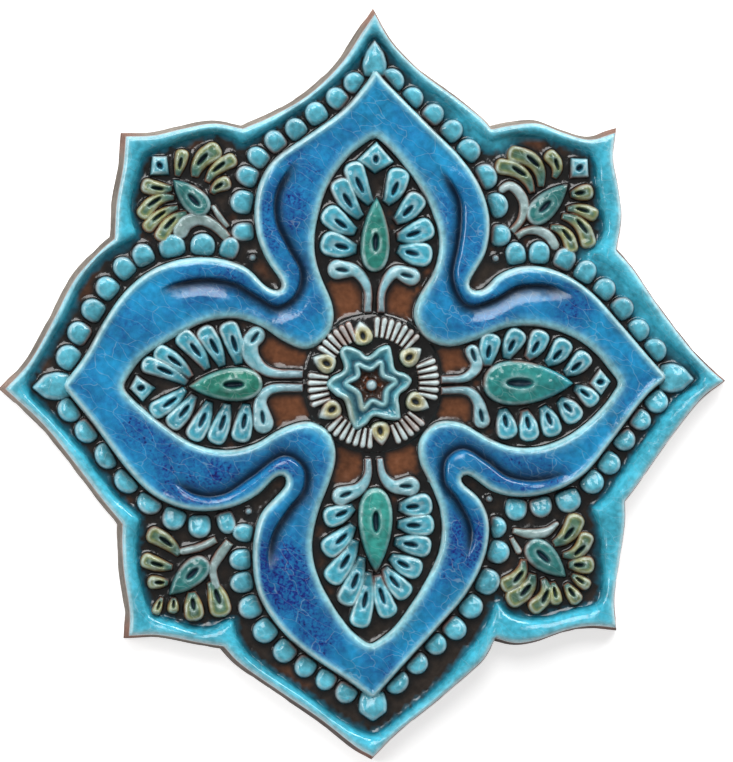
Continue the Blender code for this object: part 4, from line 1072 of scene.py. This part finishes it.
    def add_button(self, index):
        """The button in the middle of the star, among the star's points."""
        depth = BUTTON_RADIUS - far_from(self.points[index], STAR_MIDDLE)
        index, depth = index[depth > 0], depth[depth > 0]
        height = GROUND_HEIGHT + BUTTON_FOOT + BUTTON_RISE * dome(depth / BUTTON_RADIUS)
        tint = mixed(RUST, ASH, smooth_share(depth, 0.1, 0.8))
        # Pale top of the button: partly worn thin glaze, partly painted highlight.
        self.put(index, height, tint, 0.8 * smooth_share(depth, 0.8, 1.6), 0.0)

    def add_base(self):
        """The rosette stands on a low disc, whose ground counts as ground beside a wall and so gets its
        painted shade.
        """
        far = far_from(self.points, (0.0, 0.0))
        self.z += BASE_RISE * falling(far, BASE_RADIUS - 0.5, BASE_RADIUS + 0.4)
        wall = np.where(far < BASE_RADIUS, BASE_WALL, far - BASE_RADIUS)
        self.wall = np.minimum(self.wall, wall)

    def groove_values(self, points, outer):
        """The lip's swell outside the grooves, the drop inside them, their darkness and their reach.

        The darkness is partly pooled glaze and partly painted shade.
        """
        swell, drop, groove_pool_and_shade, reach = (np.zeros(len(points)) for _ in range(4))
        for line in self.grooves:
            near = in_reach(points, line, GROOVE_REACH)
            gap, place = beside(points[near], line)
            from_end = np.minimum(place, 1 - place)
            share = smooth_share(from_end, 0, 0.13)
            share *= falling(np.abs(gap), 0.8 * GROOVE_REACH, GROOVE_REACH)
            across = outer[near] / (outer[near] + np.abs(gap) + 1e-6)
            swell[near] += share * np.where(gap < 0, np.sin(across * math.pi) ** 0.6, 0)
            rising = np.clip((gap - 0.4) / GROOVE_WIDTH, 0, 1)
            drop[near] += share * smooth_share(gap, -0.8, 0.2) * (1 - rising) ** 2
            width = np.where(gap < 0.9, 1.1, 2.1)
            # Dark along the groove: partly pooled glaze, partly painted shade.
            groove_pool_and_shade[near] += smooth_share(from_end, -0.02, 0.11) * bell(gap, 0.9, width)
            reach[near] += share
        return swell, drop, groove_pool_and_shade, reach

    def add_band(self):
        outer = depth_inside(self.points, self.band_outer)
        inner = -depth_inside(self.points, self.band_inner)
        depth = np.minimum(outer, inner)
        self.wall = np.minimum(self.wall, np.abs(depth))
        on = np.flatnonzero(depth > FOOT_MARGIN)
        points, outer, inner, depth = self.points[on], outer[on], inner[on], depth[on]
        swell, drop, groove_pool_and_shade, reach = self.groove_values(points, outer)
        height = band_height(points, outer, inner, 1 - reach)
        height += (LIP_HEIGHT - BAND_HEIGHT) * swell - (BAND_HEIGHT - CREASE_HEIGHT) * drop
        cobalt = band_cobalt(points, outer, inner, drop, reach)
        # Pale lines along both edges of the band: partly worn thin glaze, partly painted highlight.
        thin_glaze_and_sheen = np.maximum(0.9 * bell(outer, 1.0, 0.55), 0.7 * bell(inner, 0.7, 0.35))
        # Darker at the band's feet and in the grooves: partly pooled glaze, partly painted shade.
        deep = np.maximum(0.8 * falling(depth, 0.0, 0.3), 0.8 * groove_pool_and_shade)
        open_part = smooth_share(np.minimum(outer * 1.2, inner), 0.8, 4.4)
        groove_pool_and_shade = np.clip(groove_pool_and_shade, 0, 1)
        # The groove painted dark navy: partly pooled glaze, partly painted shade.
        tint = mixed(mixed(PALE_TURQUOISE, AZURE, open_part), GROOVE_NAVY, groove_pool_and_shade)
        tint = mixed(tint, RUST, rusted(points, depth))
        self.put(on, height, tint, thin_glaze_and_sheen, deep, cobalt * (1 - groove_pool_and_shade))

    def add_rim(self):
        """The rim is highest near the edge and slopes down inwards, where the glaze runs out."""
        foot = -depth_inside(self.points, self.rim_foot)
        edge = depth_inside(self.points, self.edge)
        self.rim_gap = np.maximum(-foot, 0)
        self.wall = np.minimum(self.wall, np.abs(foot))
        on = np.flatnonzero(foot > FOOT_MARGIN)
        points, foot, edge = self.points[on], foot[on], np.maximum(edge[on], 0)
        ran = run_down(points)
        height = rim_height(foot, edge) + RIM_UNEVEN * lumps(points, "rim")
        height += ran * RUN_LIFT * bell(foot, 0.0, RUN_REACH)
        # Darker teal towards the foot: partly thin glaze over the clay, partly painted shade.
        tint = mixed(DEEP_TEAL, TURQUOISE, np.maximum(smooth_share(foot, -0.2, 1.8), ran))
        tint = mixed(tint, PALE_TURQUOISE, 0.5 * falling(edge, 0.8, 3.6))
        tint = mixed(tint, RUST_EDGE, 0.8 * falling(edge, 0.1, 0.5))
        # A pale line near the rim's edge: partly worn thin glaze, partly painted highlight.
        self.put(on, height, tint, 0.6 * bell(edge, 0.9, 0.4), 0.0)
        self.z[on[edge < FOOT_MARGIN]] = EDGE_HEIGHT

    def add_ground(self):
        """Open ground is brown, and glazed where the rim's glaze ran down over it."""
        bare = np.flatnonzero(self.glazed == 0)
        points, gap, wall = self.points[bare], self.rim_gap[bare], self.wall[bare]
        ran = run_down(points)
        ragged = gap + 0.5 * lumps(points, "broad drips") + 0.3 * lumps(points, "fine drips")
        glazed = np.maximum(ran * falling(ragged, 3.0, 6.0), falling(ragged, -0.2, 1.2))
        wash = mixed(DEEP_TEAL, mixed(TURQUOISE, DEEP_TEAL, smooth_share(gap, 0.5, 5.0)), ran)
        self.tint[bare] = mixed(ground_tint(points, wall), wash, glazed)
        self.z[bare] += FILLET_RISE * np.exp(-wall / FILLET_WIDTH)
        self.z[bare] += ran * RUN_LIFT * bell(gap, 0.0, RUN_REACH)


def band_height(points, outer, inner, plain):
    """The band's rounded section. Its outer edge is raised where it is plain, with no groove near."""
    depth = np.minimum(outer, inner)
    round_part = np.minimum(dome(outer / BAND_OUTER_SHOULDER), dome(inner / BAND_INNER_SHOULDER))
    height = GROUND_HEIGHT + (BAND_HEIGHT - GROUND_HEIGHT) * round_part
    height += BAND_EDGE_RISE * bell(outer, 1.6, 1.2) * plain
    return height + (BAND_SWELL * smooth_share(depth, 4.0, 9.0) * plain
                     + BAND_UNEVEN * lumps(points, "band"))


def band_cobalt(points, outer, inner, drop, reach):
    """How heavy the cobalt lies on the band: mottled, in patches, in the grooves and on the lips."""
    mottled = 0.2 * lumps(points, "broad cobalt") + 0.12 * lumps(points, "fine cobalt")
    cobalt = np.clip(0.12 + mottled + 0.9 * drop, 0, 1)
    on_lip = reach * smooth_share(outer, 2.0, 4.0) * (1 - drop)
    cobalt = np.maximum(cobalt, on_lip * (0.5 + 0.2 * lumps(points, "lip cobalt")))
    for x, y, radius, strength in COBALT_PATCHES:
        share = falling(far_from(points, (x, y)), radius * 0.3, radius)
        cobalt = np.maximum(cobalt, strength * share + mottled)
    return np.clip(cobalt, 0, 1.1) * smooth_share(outer, 1.6, 3.4) * smooth_share(inner, 1.0, 4.4)


def rim_height(foot, edge):
    """The rim's section: a wall at its foot, a gentle slope to its crest, and a rounded edge."""
    up = np.clip(foot / np.maximum(foot + edge - RIM_CREST, RIM_WALL_WIDTH), 0, 1)
    rise = RIM_WALL_SHARE * smooth_share(foot, -0.6, RIM_WALL_WIDTH) + (1 - RIM_WALL_SHARE) * up
    inner_rise = GROUND_HEIGHT + (RIM_HEIGHT - GROUND_HEIGHT) * rise
    outer_rise = EDGE_HEIGHT + (RIM_HEIGHT - EDGE_HEIGHT) * dome(edge / RIM_SHOULDER)
    return np.minimum(inner_rise, outer_rise)


def run_down(points):
    """How much glaze has run down from the rim: fully on both sides of the upper right lobe."""
    sector = smooth_share(towards(points, RUN_DOWN_DEGREES), 0.7, 0.9)
    return sector * smooth_share(far_from(points, SMALL_DROPS[0][0]), 22.0, 32.0)


def ground_tint(points, wall):
    """Brown ground, redder round the rosette and in patches, and darkened beside the walls as painted
    shade.
    """
    wall = wall + 0.4 * lumps(points, "dark ground")
    red = np.maximum(falling(far_from(points, (0.0, 0.0)), 48.0, 60.0),
                     0.6 * smooth_share(lumps(points, "red ground"), 0.4, 1.1))
    # Painted shade: the ground goes dark within about 2.6 mm of a wall.
    return mixed(DARK_GROUND, mixed(BROWN_GROUND, RED_GROUND, red), smooth_share(wall, 0.7, 2.6))


def lumps(points, kind):
    """Soft unevenness between about -1 and 1, as waves of a kind's length in nine directions."""
    length, seed = LUMPS[kind]
    random = np.random.default_rng(seed)
    total = np.zeros(len(points))
    for _ in range(9):
        way = heading(random.uniform(0, math.tau)) / (length * random.uniform(0.7, 1.6))
        total += np.sin(points @ way * math.tau + random.uniform(0, math.tau))
    return total / 3.2


def rusted(points, depth):
    """Here and there the clay shows rust-red through the thin glaze of an upper edge."""
    return 0.7 * smooth_share(lumps(points, "rust"), 0.2, 0.9) * bell(depth, 0.5, 0.35)


def ring_edges(count):
    """The edges of a loop of points, by their numbers."""
    return [(k, (k + 1) % count) for k in range(count)]


def triangles_between(points, edges, closeness):
    """Plan points and triangles that keep the edges. Points are added where edges cross."""
    plan, _, faces, _, _, _ = delaunay_2d_cdt([Vector(p) for p in points], edges, [], 1, closeness)
    return np.array([tuple(p) for p in plan]), faces


def triangulated(relief):
    """Plan points and triangles that follow all the level lines, with open ground filled evenly."""
    points = [relief.edge]
    count = len(relief.edge)
    edges = ring_edges(count)
    for line in relief.lines():
        points.append(line)
        edges += [(count + k, count + k + 1) for k in range(len(line) - 1)
                  if np.linalg.norm(line[k] - line[k + 1]) < 3 * RIM_STEP]
        count += len(line)
    points = np.vstack(points)
    tree = tree_of(points)
    low, high = relief.edge.min(0), relief.edge.max(0)
    rows = np.arange(low[1], high[1], OPEN_STEP * 0.87)
    grid = np.array([(x + (n % 2) * OPEN_STEP / 2, y) for n, y in enumerate(rows)
                     for x in np.arange(low[0], high[0], OPEN_STEP)])
    grid = grid[depth_inside(grid, relief.edge) > OPEN_STEP * 0.6]
    free = [p for p in grid if tree.find((p[0], p[1], 0))[2] > OPEN_STEP * 0.55]
    return triangles_between(np.vstack([points, free]), edges, FRONT_CLOSENESS)


def boundary(faces):
    """The outer edge of the triangulation, as points in order, counterclockwise."""
    open_edges = set()
    for a, b, c in faces:
        for p, q in ((a, b), (b, c), (c, a)):
            if (q, p) in open_edges:
                open_edges.remove((q, p))
            else:
                open_edges.add((p, q))
    after = dict(open_edges)
    loop = [next(iter(after))]
    while after[loop[-1]] != loop[0]:
        loop.append(after[loop[-1]])
    return loop


def side_rings(edge):
    """The side from the front edge down to the back: plan lines and heights, slightly uneven."""
    rings = []
    way = outward(edge)
    for height, inset in SIDE_PROFILE:
        uneven = SIDE_UNEVEN * (lumps(edge + height * SIDE_DRIFT, "side") - 0.4)
        uneven = np.clip(uneven, -1, 0) * (height < SIDE_UNEVEN_TOP)
        reach = BACK_FLARE * (1 - height / EDGE_HEIGHT) - inset + uneven
        rings.append((edge + way * reach[:, None], height))
    return rings


def side_walls(edge, upper, count):
    """Points of the side, ring by ring, its faces, and the numbers of its lowest ring.

    The ring above has the numbers in upper, and new points are numbered from count on.
    """
    rings = []
    quads = []
    around = len(edge)
    for line, height in side_rings(edge):
        rings.append(np.column_stack([line, np.full(around, height)]))
        lower = list(range(count, count + around))
        quads += [(lower[k], lower[k - around + 1], upper[k - around + 1], upper[k])
                  for k in range(around)]
        upper = lower
        count += around
    return np.vstack(rings), quads, upper


def back_surface(rim):
    """The back inside its rim: its own points, slightly hollow, and triangles over rim and points."""
    plan, faces = back_grid(rim)
    inner = plan[len(rim):]
    heights = BACK_HOLLOW + BACK_UNEVEN * lumps(inner, "back")
    return np.column_stack([inner, np.maximum(heights, BACK_LOWEST)]), faces


def tile_object(relief):
    """The whole tile as one closed mesh, in metres, over the origin, and its shift in plan."""
    plan, faces = triangulated(relief)
    face = relief.measure(plan)
    loop = boundary(faces)
    edge = plan[loop]
    flared = edge + outward(edge) * BACK_FLARE
    shift = -(flared.min(0) + flared.max(0)) / 2
    side, quads, lowest = side_walls(edge, loop, len(plan))
    inner, back_faces = back_surface(side[-len(edge):, :2])
    first = len(plan) + len(side)
    numbers = lowest + list(range(first, first + len(inner)))
    back = [(numbers[a], numbers[c], numbers[b]) for a, b, c in back_faces]
    points = np.vstack([np.column_stack([plan, face["z"]]), side, inner])
    clay = clay_colours(points[len(plan):])
    points[:, :2] += shift
    points[:, 2] = np.clip(points[:, 2], 0.0, LIP_HEIGHT - TOP_MARGIN)
    mesh = bpy.data.meshes.new("tile_surface")
    mesh.from_pydata((points * METRES_PER_MM).tolist(), [], [*map(tuple, faces), *quads, *back])
    mesh.shade_smooth()
    add_values(mesh, face, clay)
    add_bake_map(mesh, points, len(faces), len(quads), len(edge))
    return bpy.data.objects.new("tile_surface", mesh), shift


def back_grid(outline):
    """The flat back as triangles over an even grid inside its outline."""
    low, high = outline.min(0), outline.max(0)
    grid = np.array([(x, y) for x in np.arange(low[0], high[0], BACK_STEP)
                     for y in np.arange(low[1], high[1], BACK_STEP)])
    grid = grid[depth_inside(grid, outline) > BACK_STEP * 0.6]
    return triangles_between(np.vstack([outline, grid]), ring_edges(len(outline)), BACK_CLOSENESS)


def clay_colours(points):
    """Bare clay: darker on the lower right side as painted shade, and rust-red at the outline's
    corners.
    """
    plan = points[:, :2]
    uneven = np.clip(0.5 + 0.3 * lumps(plan, "clay"), 0, 1)
    colours = mixed(CLAY, DARK_CLAY, uneven)
    # Painted shade: the lower right side is darkened towards brown.
    painted_side_shade = smooth_share(towards(plan, SHADED_SIDE_DEGREES), -0.1, 0.7)
    on_side = smooth_share(points[:, 2], 0.1, 1.0)
    colours = mixed(colours, SIDE_SHADE_BROWN, 0.85 * painted_side_shade * on_side)
    for run in EDGE_RUNS[::2]:
        corner = falling(far_from(plan, run[0]), 1.0, 10.0)
        colours = mixed(colours, RUST, 0.45 * corner * on_side * (0.4 + uneven))
    return colours


def add_values(mesh, face, clay):
    """The glaze values as attributes of the mesh's points. The sides and the back are bare clay."""
    tint = mesh.attributes.new("tint", "FLOAT_COLOR", "POINT")
    colours = np.ones((len(mesh.vertices), 4))
    colours[:, :3] = np.vstack([face["tint"], clay])
    tint.data.foreach_set("color", colours.ravel())
    parts = {name: (face[name], np.zeros(len(clay))) for name in ("thin_glaze_and_sheen", "deep", "cobalt", "glazed")}
    parts["bare"] = (np.zeros(len(face["z"])), np.ones(len(clay)))
    for name, values in parts.items():
        field = mesh.attributes.new(name, "FLOAT", "POINT")
        field.data.foreach_set("value", np.concatenate(values))


def add_bake_map(mesh, points, front_count, side_count, around):
    """A flat map: the face large, the back small beside it, and the sides as strips above it."""
    corners = np.empty(len(mesh.loops), np.int32)
    mesh.loops.foreach_get("vertex_index", corners)
    low, high = points[:, :2].min(0), points[:, :2].max(0)
    plan = (points[corners][:, :2] - low) / (high - low).max()
    uv = plan * FRONT_SHARE + MAP_MARGIN
    side_start, back_start = front_count * 3, front_count * 3 + side_count * 4
    uv[back_start:] = plan[back_start:] * BACK_SHARE + (1 - BACK_SHARE - MAP_MARGIN, MAP_MARGIN)
    quad = np.arange(side_count)
    place, ring = quad % around, quad // around
    per_strip = math.ceil(around / SIDE_STRIPS)
    strip, across = place // per_strip, (place % per_strip) / per_strip
    rings = side_count // around
    height = (1 - FRONT_SHARE - 4 * MAP_MARGIN) / SIDE_STRIPS
    base = FRONT_SHARE + 3 * MAP_MARGIN + strip * height
    for corner, (right, down) in enumerate(((0, 1), (1, 1), (1, 0), (0, 0))):
        u = (across + right / per_strip) * (1 - 2 * MAP_MARGIN) + MAP_MARGIN
        v = base + height * STRIP_SHARE * (1 - (ring + down) / rings)
        uv[side_start + corner:back_start:4] = np.column_stack([u, v])
    layer = mesh.uv_layers.new(name="OFBake")
    layer.data.foreach_set("uv", uv.astype(np.float32).ravel())


# Materials

class Graph:
    """Short names for building a node tree."""

    def __init__(self, name):
        self.material = bpy.data.materials.new(name)
        self.material.use_nodes = True
        self.tree = self.material.node_tree
        self.shader = self.tree.nodes["Principled BSDF"]

    def put(self, socket, value):
        if isinstance(value, bpy.types.NodeSocket):
            self.tree.links.new(value, socket)
        else:
            socket.default_value = value

    def node(self, kind, values=(), **settings):
        made = self.tree.nodes.new(kind)
        for key, value in settings.items():
            setattr(made, key, value)
        for key, value in dict(values).items():
            self.put(made.inputs[key], value)
        return made

    def math(self, operation, a, b):
        return self.node("ShaderNodeMath", {0: a, 1: b}, operation=operation).outputs[0]

    def plus(self, a, b):
        return self.math("ADD", a, b)

    def times(self, a, b):
        return self.math("MULTIPLY", a, b)

    def value(self, name):
        return self.node("ShaderNodeAttribute", attribute_name=name).outputs["Fac"]

    def noise(self, place, size_mm, detail=3.0, distortion=0.0):
        made = self.node("ShaderNodeTexNoise", {"Vector": place, "Scale": 1 / size_mm,
                                                "Detail": detail, "Distortion": distortion})
        return made.outputs["Fac"]

    def between(self, value, low, high, out_low=0.0, out_high=1.0):
        return self.node("ShaderNodeMapRange", {"Value": value, "From Min": low, "From Max": high,
                                                "To Min": out_low, "To Max": out_high},
                         interpolation_type="SMOOTHSTEP").outputs["Result"]


def mix_colours(graph, factor, a, b, blend="MIX"):
    made = graph.node("ShaderNodeMix", data_type="RGBA", blend_type=blend)
    graph.put(made.inputs[0], factor)
    graph.put(made.inputs[6], a)
    graph.put(made.inputs[7], b)
    return made.outputs[2]


def glaze_material():
    """Coloured by the values of the mesh's points. The place in it is in mm."""
    g = Graph("glaze")
    object_place = g.node("ShaderNodeTexCoord").outputs["Object"]
    place = g.node("ShaderNodeVectorMath", {0: object_place, "Scale": 1 / METRES_PER_MM},
                   operation="SCALE").outputs["Vector"]
    thin_glaze_and_sheen, deep, cobalt, bare = (g.value(n) for n in ("thin_glaze_and_sheen", "deep", "cobalt", "bare"))
    fine = g.noise(place, 2.2, 4.0, 0.2)
    grain = g.noise(place, 1.1, 5.0, 0.3)
    colour = with_cobalt(g, mottled_tint(g, place, fine), cobalt, grain)
    # White edges: partly worn thin glaze, partly painted highlight.
    wear_and_sheen = g.between(g.noise(place, 3.2, 3.0), 0.35, 0.65, 0.45, 1.0)
    colour = mix_colours(g, g.times(thin_glaze_and_sheen, wear_and_sheen), colour, EDGE_WHITE)
    # Slots, feet and grooves darkened: partly pooled glaze, partly painted shade.
    colour = mix_colours(g, g.times(deep, SLOT_STRENGTH), colour, SLOT_BLUE)
    colour = mix_colours(g, crackle(g, place, deep), colour, EDGE_WHITE)
    g.put(g.shader.inputs["Base Color"], colour)
    gloss = g.plus(g.between(fine, 0.3, 0.7, 0.08, 0.2), g.times(deep, 0.4))
    rough = g.node("ShaderNodeMix", {0: bare, 2: gloss, 3: CLAY_ROUGHNESS}, data_type="FLOAT")
    g.put(g.shader.inputs["Roughness"], rough.outputs[0])
    g.shader.inputs["IOR"].default_value = GLAZE_IOR
    g.put(g.shader.inputs["Normal"], small_relief(g, place, grain, bare))
    return g.material


def mottled_tint(g, place, fine):
    tint = g.node("ShaderNodeAttribute", attribute_name="tint").outputs["Color"]
    broad = g.noise(place, 14.0, 4.0, 0.4)
    shade = g.plus(g.between(broad, 0.3, 0.7, 0.76, 1.16), g.between(fine, 0.25, 0.75, -0.2, 0.22))
    return mix_colours(g, 1.0, tint, shade, "MULTIPLY")


def with_cobalt(g, colour, cobalt, grain):
    """Cobalt over the colour, speckled, and navy specks where it is heavy."""
    speckle = g.between(grain, 0.36, 0.64, 0.45, 1.0)
    colour = mix_colours(g, g.times(cobalt, speckle), colour, COBALT)
    specks = g.times(g.between(cobalt, 0.3, 0.9), g.between(grain, 0.6, 0.7))
    return mix_colours(g, specks, colour, NAVY)


def crackle(g, place, deep):
    """How white a crack shows: slanting, wavering hairlines in the glaze, but not in the slots."""
    waver = g.node("ShaderNodeTexNoise", {"Vector": place, "Scale": WAVER_SCALE}).outputs["Color"]
    reach = (WAVER_REACH, WAVER_REACH, WAVER_REACH)
    wavering = g.node("ShaderNodeVectorMath", {0: waver, 1: reach, 2: place},
                      operation="MULTIPLY_ADD").outputs["Vector"]
    turned = {"Vector": wavering, "Rotation": (0.0, 0.0, CRACKLE_TURN),
              "Scale": (1.0, CRACKLE_STRETCH, 1.0)}
    slanting = g.node("ShaderNodeMapping", turned, vector_type="TEXTURE").outputs["Vector"]
    cells = g.node("ShaderNodeTexVoronoi", {"Vector": slanting, "Scale": 1 / CRACKLE_CELL},
                   feature="DISTANCE_TO_EDGE").outputs["Distance"]
    crack = g.between(cells, 0.0, CRACK_WIDTH, CRACK_STRENGTH, 0.0)
    return g.times(g.times(crack, g.math("SUBTRACT", 1.0, deep)), g.value("glazed"))


def small_relief(g, place, grain, bare):
    """Ripples in the glaze, and rough grain on bare clay, as a normal."""
    ripple = g.plus(g.times(g.noise(place, 5.0, 2.0), 0.5), g.times(g.noise(place, 2.0, 3.0), 0.2))
    height = g.plus(ripple, g.times(g.times(grain, bare), 0.6))
    bump = g.node("ShaderNodeBump", {"Height": height, "Strength": BUMP_STRENGTH,
                                     "Distance": BUMP_DISTANCE})
    return bump.outputs["Normal"]


def floor_material():
    g = Graph("studio_floor")
    g.shader.inputs["Base Color"].default_value = FLOOR_COLOUR
    g.shader.inputs["Roughness"].default_value = FLOOR_ROUGHNESS
    g.shader.inputs["Emission Color"].default_value = WHITE
    g.shader.inputs["Emission Strength"].default_value = FLOOR_GLOW
    return g.material


# Studio

def add_floor():
    mesh = bpy.data.meshes.new("studio_floor")
    r = FLOOR_HALF_WIDTH
    mesh.from_pydata([(-r, -r, 0), (r, -r, 0), (r, r, 0), (-r, r, 0)], [], [(0, 1, 2, 3)])
    mesh.materials.append(floor_material())
    floor = bpy.data.objects.new("studio_floor", mesh)
    bpy.context.scene.collection.objects.link(floor)


def add_softbox(name, place, width, height, watts):
    light = bpy.data.lights.new(name, "AREA")
    light.shape = "RECTANGLE"
    light.size = width
    light.size_y = height
    light.energy = watts
    lamp = bpy.data.objects.new(name, light)
    lamp.location = place
    lamp.rotation_euler = Vector(place).to_track_quat("Z", "Y").to_euler()
    bpy.context.scene.collection.objects.link(lamp)


def add_world():
    world = bpy.data.worlds.new("studio")
    world.use_nodes = True
    background = world.node_tree.nodes["Background"]
    background.inputs["Color"].default_value = WHITE
    background.inputs["Strength"].default_value = WORLD_STRENGTH
    bpy.context.scene.world = world


def add_camera(shift):
    target = Vector(((VIEW_MIDDLE[0] + shift[0]) * METRES_PER_MM,
                     (VIEW_MIDDLE[1] + shift[1]) * METRES_PER_MM, RIM_HEIGHT * METRES_PER_MM))
    lean_x, lean_y = (math.tan(math.radians(a)) for a in CAMERA_LEAN)
    way = Vector((lean_x, lean_y, 1.0)).normalized()
    camera = bpy.data.objects.new("camera", bpy.data.cameras.new("camera"))
    camera.data.lens = SENSOR_WIDTH * CAMERA_DISTANCE / (VIEW_WIDTH * METRES_PER_MM)
    camera.data.sensor_fit = "HORIZONTAL"
    camera.data.sensor_width = SENSOR_WIDTH
    camera.data.clip_end = 20.0
    camera.location = target + way * CAMERA_DISTANCE
    right = Vector((1, 0, 0)) - way * way.x
    right.normalize()
    up = way.cross(right)
    camera.rotation_euler = Matrix((right, up, way)).transposed().to_euler()
    bpy.context.scene.collection.objects.link(camera)
    bpy.context.scene.camera = camera


def main():
    relief = Relief()
    tile, shift = tile_object(relief)
    bpy.context.scene.collection.objects.link(tile)
    tile.data.materials.append(glaze_material())
    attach(tile, "root")
    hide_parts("tile")
    add_floor()
    for softbox in SOFTBOXES:
        add_softbox(*softbox)
    add_world()
    add_camera(shift)
    bpy.context.scene.view_settings.view_transform = "Standard"


main()
